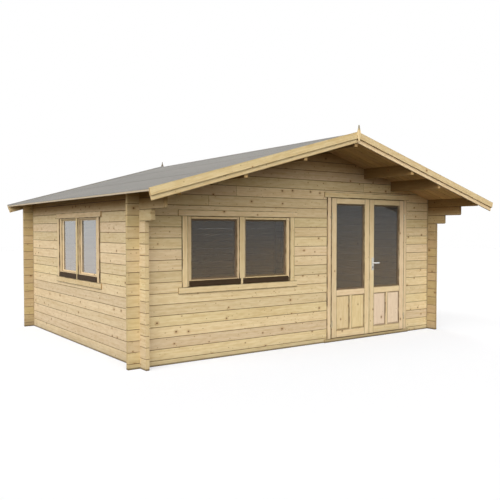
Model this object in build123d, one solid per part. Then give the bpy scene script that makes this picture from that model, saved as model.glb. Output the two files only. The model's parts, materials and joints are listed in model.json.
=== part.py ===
"""Log cabin: notched log walls, a felted gable roof with a deep front overhang, a double door and windows.

Frame: +Z up, the front faces -Y, and the origin is on the ground under the middle of the roof's box.
"""
import os
from math import ceil, cos, floor, radians, sin, tan

from build123d import *

os.makedirs("parts", exist_ok=True)

# Log walls: lengths over the outer faces of the logs
cabin_width = 4730.0
cabin_depth = 3730.0
log_height = 120.0
log_thickness = 44.0
log_chamfer = 4.0
log_gap = 0.4
log_end_length = 135.0
side_courses = 16

# Stepped brackets of the side walls, under the front overhang
low_corbel_reach = 279.0
high_corbel_reach = 543.0
corbel_rounding = 18.0

# Roof
roof_slope_deg = 15.7
eaves_drop = 17.0
eaves_overhang = 292.0
front_overhang = 845.0
back_overhang = 233.0
roof_board_thickness = 19.0
felt_thickness = 4.0
purlin_width = 44.0
purlin_height = 135.0
left_inner_purlin_offset = 767.0
left_outer_purlin_offset = 1565.0
right_inner_purlin_offset = 991.0
right_outer_purlin_offset = 1524.0

# Gable boards: a wide board over a lower one, and a pointed board at the peak
barge_thickness = 18.0
barge_rise = 10.0
upper_barge_height = 75.0
lower_barge_drop = 89.0
barge_past_eaves_length = 4.0
finial_thickness = 18.0
finial_half_width = 25.0
finial_point_height = 75.0
finial_tail_height = 120.0

# Cover boards round the door and windows
trim_width = 70.0
trim_thickness = 18.0
trim_overhang = 45.0
frame_lining_thickness = 30.0

# Windows: sizes between the cover boards, places along the wall from its middle as shares of its length
window_sill_height = 835.0
window_head_height = 1620.0
front_window_width = 1456.0
front_window_place_share = -0.2245
left_window_width = 1336.0
left_window_place_share = 0.0206
mullion_cover_width = 68.0
mullion_post_width = 40.0
sash_gap = 3.0
sash_proud = 4.0
sash_thickness = 46.0
sash_stile_width = 50.0
sash_meeting_stile_width = 36.0
front_sash_top_rail_height = 28.0
left_sash_top_rail_height = 12.0
sash_bottom_rail_height = 76.0
glazing_ledge_width = 18.0
glazing_ledge_depth = 22.0
glass_thickness = 4.0
glass_setback = 28.0
glass_gap = 0.3
drip_bar_height = 60.0
drip_bar_lift = 7.0
drip_bar_proud = 22.0
drip_bar_fall = 12.0
drip_bar_throat = 6.0
drip_bar_inset = 24.0
drip_bar_gap = 3.0

# Double door: the opening between the cover boards
door_place_share = 0.2233
door_width = 1409.0
door_head_height = 1890.0
threshold_height = 45.0
door_gap = 7.5
leaf_thickness = 42.0
leaf_proud = 24.0
leaf_stile_width = 87.0
leaf_bottom_rail_height = 92.0
leaf_panel_height = 455.0
leaf_mid_rail_height = 80.0
leaf_top_rail_height = 72.0
door_trim_width = 62.0
stop_clearance = 6.0
leaf_muntin_width = 42.0
panel_thickness = 12.0
panel_setback = 16.0
panel_field_rise = 11.0
panel_bevel_width = 22.0
stop_depth = 20.0
stop_width = 14.0

# Lift-off hinges and the lever handle
hinge_low_height = 200.0
hinge_high_height = 1609.0
knuckle_radius = 7.5
knuckle_height = 42.0
knuckle_stand = 0.5
knuckle_gap = 0.3
pin_radius = 4.0
pin_clearance = 0.3
pin_end_gap = 2.0
hinge_plate_thickness = 3.0
hinge_plate_width = 13.0
handle_height = 1018.0
handle_edge_distance = 58.0
handle_plate_width = 40.0
handle_plate_height = 172.0
handle_plate_drop = 15.0
handle_plate_thickness = 8.0
handle_plate_rounding = 6.0
spindle_radius = 9.0
spindle_clearance = 1.0
lever_stand = 36.0
lever_length = 96.0
lever_height = 18.0
lever_thickness = 12.0
lever_rounding = 5.0

# Floor on bearers that lie on the ground
bearer_height = 36.0
bearer_width = 58.0
bearer_spacing = 480.0
floor_board_thickness = 19.0
floor_gap = 5.0

# Places worked out from the sizes above
half_width = cabin_width / 2
front_reach = front_overhang + finial_thickness
back_reach = back_overhang + finial_thickness
front_face = (front_reach - back_reach - cabin_depth) / 2
back_face = front_face + cabin_depth
slope = radians(roof_slope_deg)
wall_height = side_courses * log_height
ridge_underside = wall_height - eaves_drop + half_width * tan(slope)
felt_top = roof_board_thickness + felt_thickness
barge_top = felt_top + barge_rise
peak_height = ridge_underside + barge_top / cos(slope)
eaves_run = (half_width + eaves_overhang) / cos(slope)
boards_front = front_face - front_overhang + barge_thickness
boards_back = back_face + back_overhang - barge_thickness
beams_front = boards_front + barge_thickness
beams_back = boards_back - barge_thickness
floor_top = bearer_height + floor_board_thickness
leaf_bottom = threshold_height + door_gap
leaf_top = door_head_height - door_gap
leaf_front = -leaf_proud
leaf_back = leaf_front + leaf_thickness
pin_stand = leaf_front - knuckle_radius - knuckle_stand
overrun = log_height
front_window_place = cabin_width * front_window_place_share
left_window_middle = (front_face + back_face) / 2 - cabin_depth * left_window_place_share
door_place = cabin_width * door_place_share


def block(low, high):
    """A box between two opposite corners."""
    size = [b - a for a, b in zip(low, high)]
    middle = [(a + b) / 2 for a, b in zip(low, high)]
    return Pos(*middle) * Box(*size)


def along_x(outline, start, end):
    """Carry an outline in Y and Z along X."""
    plane = Plane((start, 0, 0), x_dir=(0, 1, 0), z_dir=(1, 0, 0))
    return extrude(plane * outline, end - start, dir=(1, 0, 0))


def along_y(outline, start, end):
    """Carry an outline in X and Z along Y."""
    plane = Plane((0, start, 0), x_dir=(1, 0, 0), z_dir=(0, -1, 0))
    return extrude(plane * outline, end - start, dir=(0, 1, 0))


def outline_of(points):
    """A closed flat outline through the points."""
    return Polygon(*points, align=None)


def save(name, *pieces):
    """Write the solids of one node."""
    solids = [solid for piece in pieces for solid in piece.solids()]
    export_step(Compound(solids), f"parts/{name}.step")


def roof_underside(x):
    """Height of the underside of the roof boards at a place across the cabin."""
    return ridge_underside - abs(x) * tan(slope)


def over_roof():
    """Everything above the underside of the roof boards."""
    reach = half_width + eaves_overhang + overrun
    sky = peak_height + overrun
    edge = roof_underside(reach)
    points = [(-reach, edge), (0, ridge_underside), (reach, edge), (reach, sky), (-reach, sky)]
    return along_y(outline_of(points), boards_front - overrun, boards_back + overrun)


# Logs: each one is notched to half its height where a crossing log passes through it


def log_outline(low, high, base, top, crossings, rounding):
    """Side view of a log with a notch above and below at each crossing."""
    quarter = log_height / 4
    keep_low = max(top - log_height + quarter, base)
    keep_high = top - quarter
    inside = [c for c in crossings if low < c and c + log_thickness < high]
    under = [(low, base)]
    over = [(low, top - log_gap)]
    for crossing in inside:
        left = crossing - log_gap
        right = crossing + log_thickness + log_gap
        if keep_low > base:
            under += [(left, base), (left, keep_low), (right, keep_low), (right, base)]
        over += [(left, top - log_gap), (left, keep_high - log_gap)]
        over += [(right, keep_high - log_gap), (right, top - log_gap)]
    under.append((high, base))
    over.append((high, top - log_gap))
    outline = outline_of(under + over[::-1])
    if rounding > 0:
        corner = outline.vertices().sort_by_distance((low, base, 0))[0]
        outline = fillet(corner, rounding)
    return outline


def log_section(face, base, top):
    """Cross-section of a log with its long edges taken off."""
    back = face + log_thickness
    top = top - log_gap
    points = [
        (face, base + log_chamfer),
        (face + log_chamfer, base),
        (back - log_chamfer, base),
        (back, base + log_chamfer),
        (back, top - log_chamfer),
        (back - log_chamfer, top),
        (face + log_chamfer, top),
        (face, top - log_chamfer),
    ]
    return outline_of(points)


def cross_log(low, high, face, base, top):
    """A log of the front or back wall."""
    crossings = [-half_width, half_width - log_thickness]
    side = along_y(log_outline(low, high, base, top, crossings, 0), face, face + log_thickness)
    return side & along_x(log_section(face, base, top), low, high)


def side_log(low, high, face, base, top, rounding):
    """A log of the left or right wall."""
    crossings = [front_face, back_face - log_thickness]
    side = along_x(log_outline(low, high, base, top, crossings, rounding), face, face + log_thickness)
    return side & along_y(log_section(face, base, top), low, high)


def spans(low, high, base, top, openings):
    """Stretches of a course that the openings leave, where they cut its whole height."""
    stretches = [(low, high)]
    for start, end, sill, head in openings:
        if sill <= base and head >= top:
            stretches = [
                piece
                for a, b in stretches
                for piece in ([(a, start), (end, b)] if a < start and end < b else [(a, b)])
            ]
    return stretches


def cross_courses():
    """Base and top of each course of the front and back walls, which start with a half log."""
    half = log_height / 2
    count = floor((ridge_underside - half) / log_height) + 1
    return [(0, half)] + [(half + i * log_height, half + (i + 1) * log_height) for i in range(count)]


def opening_round(place, width, sill, head):
    """Hole in a wall for a frame: start, end, sill and head."""
    reach = width / 2 + frame_lining_thickness
    return (place - reach, place + reach, sill, head)


front_window_hole = opening_round(
    front_window_place,
    front_window_width,
    window_sill_height - frame_lining_thickness,
    window_head_height + frame_lining_thickness,
)
left_window_hole = opening_round(
    left_window_middle,
    left_window_width,
    window_sill_height - frame_lining_thickness,
    window_head_height + frame_lining_thickness,
)
door_hole = opening_round(door_place, door_width, 0, door_head_height + frame_lining_thickness)


def purlin(middle, spare):
    """A roof beam under the boards; spare widens it to make the slot for it in a gable."""
    half = purlin_width / 2 + spare
    top = roof_underside(max(abs(middle) - half, 0)) + spare
    base = roof_underside(abs(middle) - purlin_width / 2) - purlin_height - spare
    if middle == 0:
        base = ridge_underside - purlin_height - spare
    beam = block((middle - half, beams_front, base), (middle + half, beams_back, top))
    return beam if spare > 0 else beam - over_roof()


left_purlin_places = [-left_inner_purlin_offset, -left_outer_purlin_offset]
right_purlin_places = [right_inner_purlin_offset, right_outer_purlin_offset]
purlin_places = [0] + left_purlin_places + right_purlin_places
purlin_slots = [purlin(place, log_gap) for place in purlin_places]


def cross_wall(face, openings):
    """All the logs of the front or back wall, each with its stretch and height."""
    sky = over_roof()
    reach = half_width + log_end_length
    logs = []
    for base, top in cross_courses():
        for low, high in spans(-reach, reach, base, top, openings):
            if base >= roof_underside(max(low, -high, 0)):
                continue
            piece = cross_log(low, high, face, base, top)
            for start, end, sill, head in openings:
                if sill < top and head > base and low < start and end < high:
                    near = face - overrun
                    far = face + log_thickness + overrun
                    piece = piece - block((start, near, sill), (end, far, head))
            if top > roof_underside(reach):
                piece = piece - sky
            for slot in purlin_slots:
                if top > slot.bounding_box().min.Z:
                    piece = piece - slot
            logs.append((low, high, base, piece))
    return logs


def front_zone(low, high, base):
    """Name of the front wall's part that a log belongs to."""
    window_start, window_end, window_sill, _ = front_window_hole
    if base + log_height > wall_height:
        return "front_gable"
    if low >= door_hole[1]:
        return "front_wall_right_of_door"
    if high <= window_start:
        return "front_wall_left_of_window"
    if low >= window_end:
        return "front_wall_between_openings"
    return "front_wall_below_window" if base < window_sill else "front_wall_over_window"


zones = {}
for low, high, base, piece in cross_wall(front_face, [front_window_hole, door_hole]):
    zones.setdefault(front_zone(low, high, base), []).append(piece)
for low, high, base, piece in cross_wall(back_face - log_thickness, []):
    zone = "back_gable" if base + log_height > wall_height else "back_wall"
    zones.setdefault(zone, []).append(piece)


def side_ends(course):
    """How far a side log reaches in front and behind, with the rounding of its front corner."""
    front = front_face - log_end_length
    back = back_face + log_end_length
    if course == side_courses - 2:
        return front_face - low_corbel_reach, back, corbel_rounding
    if course == side_courses - 1:
        return front_face - high_corbel_reach, back, corbel_rounding
    if course == side_courses:
        return beams_front, beams_back, 0
    return front, back, 0


def side_wall(face, openings):
    """All the logs of the left or right wall, each with its stretch and height."""
    logs = []
    for course in range(1, side_courses + 1):
        base = (course - 1) * log_height
        top = course * log_height
        front, back, rounding = side_ends(course)
        for low, high in spans(front, back, base, top, openings):
            piece = side_log(low, high, face, base, top, rounding if low == front else 0)
            for start, end, sill, head in openings:
                if sill < top and head > base and low < start and end < high:
                    near = face - overrun
                    far = face + log_thickness + overrun
                    piece = piece - block((near, start, sill), (far, end, head))
            if course == side_courses:
                piece = piece - over_roof()
            logs.append((low, high, base, piece))
    return logs


def left_zone(low, high, base):
    """Name of the left wall's part that a log belongs to."""
    start, end, sill, _ = left_window_hole
    if high <= start:
        return "left_wall_front_of_window"
    if low >= end:
        return "left_wall_behind_window"
    return "left_wall_below_window" if base < sill else "left_wall_over_window"


for low, high, base, piece in side_wall(-half_width, [left_window_hole]):
    zones.setdefault(left_zone(low, high, base), []).append(piece)
for low, high, base, piece in side_wall(half_width - log_thickness, []):
    zones.setdefault("right_wall", []).append(piece)
for zone, logs in zones.items():
    save(zone, *logs)


# Roof: beams, boards and felt


def on_slope(side, run, rise):
    """Point at a run down the slope from the ridge and a rise square to it; side is -1 left, 1 right."""
    x = side * (run * cos(slope) + rise * sin(slope))
    return (x, ridge_underside - run * sin(slope) + rise * cos(slope))


def slope_sheet(side, low_rise, high_rise, run, gap):
    """Outline of a sheet on one slope, cut plumb near the ridge and square at the eaves."""
    start = side * gap
    ridge = [(start, roof_underside(gap) + rise / cos(slope)) for rise in (low_rise, high_rise)]
    return outline_of([ridge[0], on_slope(side, run, low_rise), on_slope(side, run, high_rise), ridge[1]])


save("ridge_purlin", purlin(0, 0))
save("left_purlins", *[purlin(place, 0) for place in left_purlin_places])
save("right_purlins", *[purlin(place, 0) for place in right_purlin_places])
for side, name in ((-1, "left"), (1, "right")):
    boards = slope_sheet(side, 0, roof_board_thickness, eaves_run, 0)
    felt = slope_sheet(side, roof_board_thickness, felt_top, eaves_run, 0)
    save(f"{name}_roof_boards", along_y(boards, boards_front, boards_back))
    save(f"{name}_roof_felt", along_y(felt, boards_front, boards_back))

# Gable boards at the front and the back: the upper board stands outside the lower one
barge_run = eaves_run + barge_past_eaves_length
for end, outer, inner in (("front", boards_front, beams_front), ("back", boards_back, beams_back)):
    outward = outer - inner
    upper = []
    lower = []
    for side in (-1, 1):
        board = slope_sheet(side, barge_top - upper_barge_height, barge_top, barge_run, log_gap)
        upper.append(along_y(board, min(outer, outer + outward), max(outer, outer + outward)))
        board = slope_sheet(side, -lower_barge_drop, 0, barge_run, log_gap)
        lower.append(along_y(board, min(inner, outer), max(inner, outer)))
    save(f"{end}_upper_bargeboards", *upper)
    save(f"{end}_lower_bargeboards", *lower)
    face = outer + outward
    cover = face + finial_thickness * (1 if outward > 0 else -1)
    shoulder_share, waist_share, tail_share = 0.6, 0.32, 0.2
    half_outline = [
        (0, peak_height + finial_point_height),
        (finial_half_width * waist_share, peak_height + finial_point_height * shoulder_share),
        (finial_half_width, peak_height),
        (finial_half_width, peak_height - finial_tail_height * waist_share),
        (finial_half_width * tail_share, peak_height - finial_tail_height),
    ]
    mirrored = [(-x, z) for x, z in half_outline[:0:-1]]
    save(f"{end}_finial", along_y(outline_of(half_outline + mirrored), min(face, cover), max(face, cover)))


# Windows: made facing -Y about the middle of their opening, then set in the wall


def cover_boards(width, sill, head, near, far, overhang, board):
    """Two side boards under a top board, round an opening, with the reach of the top board."""
    half = width / 2
    side = half + board
    long = side + overhang
    boards = [
        block((-long, near, head), (long, far, head + trim_width)),
        block((-side, near, sill + log_gap), (-half, far, head - log_gap)),
        block((half, near, sill + log_gap), (side, far, head - log_gap)),
    ]
    return boards, long


def glazed(panel, near, far, base, top, face):
    """Cut a light through a sash or leaf, leaving a ledge behind the face; return it with its pane."""
    panel = panel - block((near, face - overrun, base), (far, face + glazing_ledge_depth, top))
    ledge = glazing_ledge_width
    panel = panel - block((near + ledge, face, base + ledge), (far - ledge, face + overrun, top - ledge))
    inset = ledge + glass_gap
    glass = face + glass_setback
    low = (near + inset, glass, base + inset)
    high = (far - inset, glass + glass_thickness, top - inset)
    return panel, block(low, high)


def window_pieces(width, top_rail):
    """Sub-parts of a double window, by name."""
    half = width / 2
    sill = window_sill_height
    head = window_head_height
    inside = log_thickness + trim_thickness
    trim, long = cover_boards(width, sill, head, -trim_thickness, 0, trim_overhang, trim_width)
    trim.append(block((-long, -trim_thickness, sill - trim_width), (long, 0, sill)))
    inner, long = cover_boards(width, sill, head, log_thickness, inside, 0, trim_width)
    trim += inner
    trim.append(block((-long, log_thickness, sill - trim_width), (long, inside, sill)))
    cover = mullion_cover_width / 2
    foot = mullion_post_width / 2 - drip_bar_gap
    bar_base = sill + drip_bar_lift
    bar_top = bar_base + drip_bar_height
    cover_outline = outline_of(
        [
            (-foot, sill + log_gap),
            (foot, sill + log_gap),
            (foot, bar_top + drip_bar_gap),
            (cover, bar_top + drip_bar_gap),
            (cover, head - log_gap),
            (-cover, head - log_gap),
            (-cover, bar_top + drip_bar_gap),
            (-foot, bar_top + drip_bar_gap),
        ]
    )
    sash_front = -sash_proud
    cover_back = sash_front - log_gap
    trim.append(along_y(cover_outline, -trim_thickness, cover_back))
    rim = frame_lining_thickness - log_gap
    post = mullion_post_width / 2
    frame = [
        block((-half - rim, 0, sill - rim), (half + rim, log_thickness, sill)),
        block((-half - rim, 0, head), (half + rim, log_thickness, head + rim)),
        block((-half - rim, 0, sill + log_gap), (-half, log_thickness, head - log_gap)),
        block((half, 0, sill + log_gap), (half + rim, log_thickness, head - log_gap)),
        block((-post, cover_back, sill + log_gap), (post, log_thickness, head - log_gap)),
    ]
    sashes = []
    panes = []
    bars = []
    for side in (-1, 1):
        middle = side * (post + sash_gap)
        edge = side * (half - sash_gap)
        base = sill + sash_gap
        top = head - sash_gap
        near, far = sorted((middle, edge))
        sash = block((near, sash_front, base), (far, sash_front + sash_thickness, top))
        inner_edge = middle + side * sash_meeting_stile_width
        near, far = sorted((inner_edge, edge - side * sash_stile_width))
        light_base = base + sash_bottom_rail_height
        sash, pane = glazed(sash, near, far, light_base, top - top_rail, sash_front)
        sashes.append(sash)
        panes.append(pane)
        start, end = sorted((side * post, side * (half - drip_bar_inset)))
        bar = outline_of(
            [
                (sash_front, bar_base),
                (sash_front - drip_bar_fall, bar_base),
                (-drip_bar_proud, bar_base + drip_bar_throat),
                (-drip_bar_proud, bar_top - drip_bar_fall),
                (sash_front, bar_top),
            ]
        )
        bars.append(along_x(bar, start, end))
    return {"frame": frame, "trim": trim, "sashes": sashes, "glass": panes, "drip_bars": bars}


front_window_seat = Pos(front_window_place, front_face, 0)
left_window_seat = Pos(-half_width, left_window_middle, 0) * Rot(0, 0, -90)
for name, width, top_rail, seat in (
    ("front_window", front_window_width, front_sash_top_rail_height, front_window_seat),
    ("left_window", left_window_width, left_sash_top_rail_height, left_window_seat),
):
    for kind, pieces in window_pieces(width, top_rail).items():
        save(f"{name}_{kind}", *[seat * piece for piece in pieces])


# Door: lining, stops, threshold and cover boards, made about the middle of the doorway

door_seat = Pos(door_place, front_face, 0)
door_half = door_width / 2
head = door_head_height
trim, long = cover_boards(
    door_width, threshold_height, head, -trim_thickness, 0, trim_overhang, door_trim_width
)
inside = log_thickness + trim_thickness
inner, _ = cover_boards(door_width, floor_top, head, log_thickness, inside, 0, door_trim_width)
save("door_trim", *[door_seat * board for board in trim + inner])
lining = frame_lining_thickness - log_gap
frame = [
    block((-door_half - lining, 0, 0), (-door_half, log_thickness, head - log_gap)),
    block((door_half, 0, 0), (door_half + lining, log_thickness, head - log_gap)),
    block((-door_half - lining, 0, head), (door_half + lining, log_thickness, head + lining)),
]
save("door_frame", *[door_seat * board for board in frame])
stop_front = leaf_back + stop_clearance
stop_back = stop_front + stop_depth
stop_half = door_half - stop_width
stops = [
    block((-door_half, stop_front, threshold_height), (-stop_half, stop_back, head)),
    block((stop_half, stop_front, threshold_height), (door_half, stop_back, head)),
    block((-stop_half + log_gap, stop_front, head - stop_width), (stop_half - log_gap, stop_back, head)),
]
save("door_stops", *[door_seat * strip for strip in stops])
sill_board = block((-long, -trim_thickness, 0), (long, 0, threshold_height - log_gap))
sill_half = door_half - log_gap
sill_back = block((-sill_half, 0, 0), (sill_half, log_thickness, threshold_height - log_gap))
save("door_threshold", door_seat * (sill_board + sill_back))


# Door leaves: a stile-and-rail frame with a pane over two raised panels

pin_place = door_half - door_gap / 2
leaf_width = (door_width - 3 * door_gap) / 2
panel_base = leaf_bottom + leaf_bottom_rail_height
panel_top = panel_base + leaf_panel_height
light_base = panel_top + leaf_mid_rail_height
light_top = leaf_top - leaf_top_rail_height
hinge_heights = (hinge_low_height, hinge_high_height)
sleeve_height = knuckle_height + knuckle_gap


def leaf_pieces(side):
    """Sub-parts of one leaf; side is -1 for the left leaf and 1 for the right."""
    near, far = sorted((side * door_gap / 2, side * (door_gap / 2 + leaf_width)))
    leaf = block((near, leaf_front, leaf_bottom), (far, leaf_back, leaf_top))
    inner_near = near + leaf_stile_width
    inner_far = far - leaf_stile_width
    leaf, pane = glazed(leaf, inner_near, inner_far, light_base, light_top, leaf_front)
    muntin_near = (near + far - leaf_muntin_width) / 2
    muntin_far = muntin_near + leaf_muntin_width
    fields = ((inner_near, muntin_near), (muntin_far, inner_far))
    panels = []
    for start, end in fields:
        leaf = leaf - block((start, -overrun, panel_base), (end, overrun, panel_top))
        panels.append(raised_panel(start + glass_gap, end - glass_gap))
    return leaf, panels, pane


def raised_panel(start, end):
    """A board with a bevelled field standing forward of it, filling a recess of the leaf."""
    base = panel_base + glass_gap
    top = panel_top - glass_gap
    face = leaf_front + panel_setback
    board = block((start, face, base), (end, face + panel_thickness, top))
    width = end - start
    height = top - base
    field = Wedge(
        width,
        panel_field_rise,
        height,
        panel_bevel_width,
        panel_bevel_width,
        width - panel_bevel_width,
        height - panel_bevel_width,
        align=Align.MIN,
    )
    return board + Pos(start, face, top) * Rot(180, 0, 0) * field


def pin_half(side, base):
    """Frame half of a hinge: a knuckle with the pin standing on it, and its plate on the cover board."""
    spot = side * pin_place
    knuckle = Pos(spot, pin_stand, base + knuckle_height / 2) * Cylinder(knuckle_radius, knuckle_height)
    pin_height = sleeve_height + knuckle_height - pin_end_gap
    pin = Pos(spot, pin_stand, base + pin_height / 2) * Cylinder(pin_radius, pin_height)
    plate_end = spot + side * (hinge_plate_width + door_gap / 2)
    near, far = sorted((spot + side * knuckle_radius, plate_end))
    plate = block(
        (near, -trim_thickness - hinge_plate_thickness, base),
        (far, -trim_thickness, base + knuckle_height),
    )
    near, far = sorted((spot, spot + side * (knuckle_radius + hinge_plate_thickness)))
    web = block((near, pin_stand, base), (far, -trim_thickness - log_gap, base + knuckle_height))
    return knuckle + pin + plate + web


def sleeve_half(side, base):
    """Leaf half of a hinge: a sleeve round the pin, with its plate on the leaf."""
    spot = side * pin_place
    start = base + sleeve_height
    middle = start + knuckle_height / 2
    sleeve = Pos(spot, pin_stand, middle) * Cylinder(knuckle_radius, knuckle_height)
    near, far = sorted((spot, spot - side * hinge_plate_width))
    plate = block(
        (near, leaf_front - hinge_plate_thickness, start),
        (far, leaf_front, start + knuckle_height),
    )
    bore = Pos(spot, pin_stand, middle) * Cylinder(pin_radius + pin_clearance, knuckle_height)
    return sleeve + plate - bore


handle_place = handle_edge_distance + door_gap / 2
spindle_bore = spindle_radius + spindle_clearance


def spindle(radius, near, far):
    """A round bar through the right leaf at the handle."""
    turned = Pos(handle_place, (near + far) / 2, handle_height) * Rot(90, 0, 0)
    return turned * Cylinder(radius, far - near)


for side, name in ((-1, "left_door"), (1, "right_door")):
    leaf, panels, pane = leaf_pieces(side)
    if side > 0:
        leaf = leaf - spindle(spindle_bore, -overrun, overrun)
    save(f"{name}_leaf", door_seat * leaf)
    save(f"{name}_panels", *[door_seat * panel for panel in panels])
    save(f"{name}_glass", door_seat * pane)
    save(f"{name}_hinge_sleeves", *[door_seat * sleeve_half(side, base) for base in hinge_heights])
pins = [door_seat * pin_half(side, base) for side in (-1, 1) for base in hinge_heights]
save("door_hinge_pins", *pins)


# Handle: a plate each side of the right leaf, and one lever set on a spindle through both


def handle_plate(near, far):
    """Long plate with rounded corners and a hole for the spindle."""
    seat = Pos(handle_place, handle_height - handle_plate_drop)
    plate = seat * Rectangle(handle_plate_width, handle_plate_height)
    plate = fillet(plate.vertices(), handle_plate_rounding)
    return along_y(plate, near, far) - spindle(spindle_bore, near - overrun, far + overrun)


def lever_arm(near, far):
    """Lever that reaches away from the meeting edge, with rounded corners."""
    arm = Pos(handle_place - spindle_radius, handle_height) * Rectangle(
        lever_length,
        lever_height,
        align=(Align.MIN, Align.CENTER),
    )
    arm = fillet(arm.vertices(), lever_rounding)
    return along_y(arm, near, far)


plate_front = leaf_front - handle_plate_thickness
plate_back = leaf_back + handle_plate_thickness
plates = [handle_plate(plate_front, leaf_front), handle_plate(leaf_back, plate_back)]
save("door_handle_plates", *[door_seat * plate for plate in plates])
lever_front = plate_front - lever_stand
lever_back = plate_back + lever_stand
lever = spindle(spindle_radius, lever_front, lever_back)
lever = lever + lever_arm(lever_front - lever_thickness, lever_front)
lever = lever + lever_arm(lever_back, lever_back + lever_thickness)
save("door_lever", door_seat * lever)


# Floor inside the walls

room_side = half_width - log_thickness - floor_gap
room_front = front_face + log_thickness + floor_gap
room_back = back_face - log_thickness - floor_gap
first_row = ceil((room_front + bearer_width / 2) / bearer_spacing)
last_row = floor((room_back - bearer_width / 2) / bearer_spacing)
bearers = []
for row in range(first_row, last_row + 1):
    near = row * bearer_spacing - bearer_width / 2
    bearers.append(block((-room_side, near, 0), (room_side, near + bearer_width, bearer_height)))
save("floor_bearers", *bearers)
save("floor_boards", block((-room_side, room_front, bearer_height), (room_side, room_back, floor_top)))
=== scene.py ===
"""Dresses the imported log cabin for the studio: boards, panes, roof covering and fittings on the fixed frame.

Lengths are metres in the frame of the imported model: the front faces -Y, +X runs along the front, +Z is up.
"""
from __future__ import annotations

import json
import logging
import math
from dataclasses import dataclass
from enum import Enum, IntEnum
from functools import reduce
from typing import Any, Mapping, Sequence

import bpy
import numpy as np
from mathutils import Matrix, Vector

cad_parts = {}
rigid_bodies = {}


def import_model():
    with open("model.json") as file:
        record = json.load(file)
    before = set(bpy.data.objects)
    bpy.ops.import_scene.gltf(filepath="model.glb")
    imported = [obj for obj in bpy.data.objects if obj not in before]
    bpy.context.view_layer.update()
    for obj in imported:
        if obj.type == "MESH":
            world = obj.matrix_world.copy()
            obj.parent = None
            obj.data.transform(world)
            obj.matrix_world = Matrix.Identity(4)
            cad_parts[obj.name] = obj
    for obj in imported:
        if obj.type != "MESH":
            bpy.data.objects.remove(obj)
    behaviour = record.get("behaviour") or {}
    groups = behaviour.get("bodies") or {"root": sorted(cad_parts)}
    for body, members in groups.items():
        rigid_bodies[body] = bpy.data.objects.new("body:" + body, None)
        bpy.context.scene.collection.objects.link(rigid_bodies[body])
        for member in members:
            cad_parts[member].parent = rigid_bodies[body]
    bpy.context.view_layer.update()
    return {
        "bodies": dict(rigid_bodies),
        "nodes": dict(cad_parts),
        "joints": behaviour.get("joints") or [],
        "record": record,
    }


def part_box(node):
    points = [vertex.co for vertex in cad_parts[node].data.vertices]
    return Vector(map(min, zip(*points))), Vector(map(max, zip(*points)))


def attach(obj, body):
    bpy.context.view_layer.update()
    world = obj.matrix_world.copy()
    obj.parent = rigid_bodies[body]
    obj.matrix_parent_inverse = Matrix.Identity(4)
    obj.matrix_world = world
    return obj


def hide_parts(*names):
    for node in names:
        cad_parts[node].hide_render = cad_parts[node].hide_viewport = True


LOG = logging.getLogger("log_cabin")

Array = np.ndarray
Pair = tuple[float, float]
Pairs = tuple[Pair, ...]
Triple = tuple[float, float, float]
Colour = tuple[float, float, float]
Frame = Mapping[str, Any]
Socket = bpy.types.NodeSocket
Sockets = Mapping[str, Socket]

WHITE: Colour = (1.0, 1.0, 1.0)


class Axis(IntEnum):
    """An axis of a seat or of the frame, by its number."""

    RIGHT = 0
    INWARD = 1
    UP = 2


class Side(IntEnum):
    """Left or right, with the sign that it gives to a run away from the middle."""

    LEFT = -1
    RIGHT = 1

    @property
    def word(self) -> str:
        """The side as it stands in the names of pieces."""
        return self.name.lower()


class Tier(IntEnum):
    """The upper gable boards lie outside the lower ones; the number moves the random draws on."""

    LOWER = 0
    UPPER = 1


@dataclass(frozen=True)
class Plan:
    """Sizes that several sub-assemblies share."""

    front_face: float = -1.559
    back_face: float = 2.171
    half_width: float = 2.365
    log_thickness: float = 0.044
    log_rise: float = 0.12
    gap: float = 0.0004
    trim_width: float = 0.07
    trim_thickness: float = 0.018
    trim_overhang: float = 0.045
    lining: float = 0.0296


PLAN = Plan()


@dataclass(frozen=True)
class Seat:
    """Three square directions and an origin, in which a sub-assembly is drawn."""

    origin: Triple
    right: Triple = (1.0, 0.0, 0.0)
    inward: Triple = (0.0, 1.0, 0.0)
    up: Triple = (0.0, 0.0, 1.0)

    def axes(self) -> Array:
        """The three directions as the rows of a matrix."""
        return np.array([self.right, self.inward, self.up], dtype=float)

    def place(self, points: Array) -> Array:
        """Points of the seat in the frame: origin plus each coordinate times its direction."""
        return points @ self.axes() + np.array(self.origin)


def front_seat(x: float) -> Seat:
    """A seat on the outer face of the front wall."""
    return Seat((x, PLAN.front_face, 0.0))


def left_seat(y: float) -> Seat:
    """A seat on the outer face of the left wall, facing -X."""
    return Seat((-PLAN.half_width, y, 0.0), right=(0.0, -1.0, 0.0), inward=(1.0, 0.0, 0.0))


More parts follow.
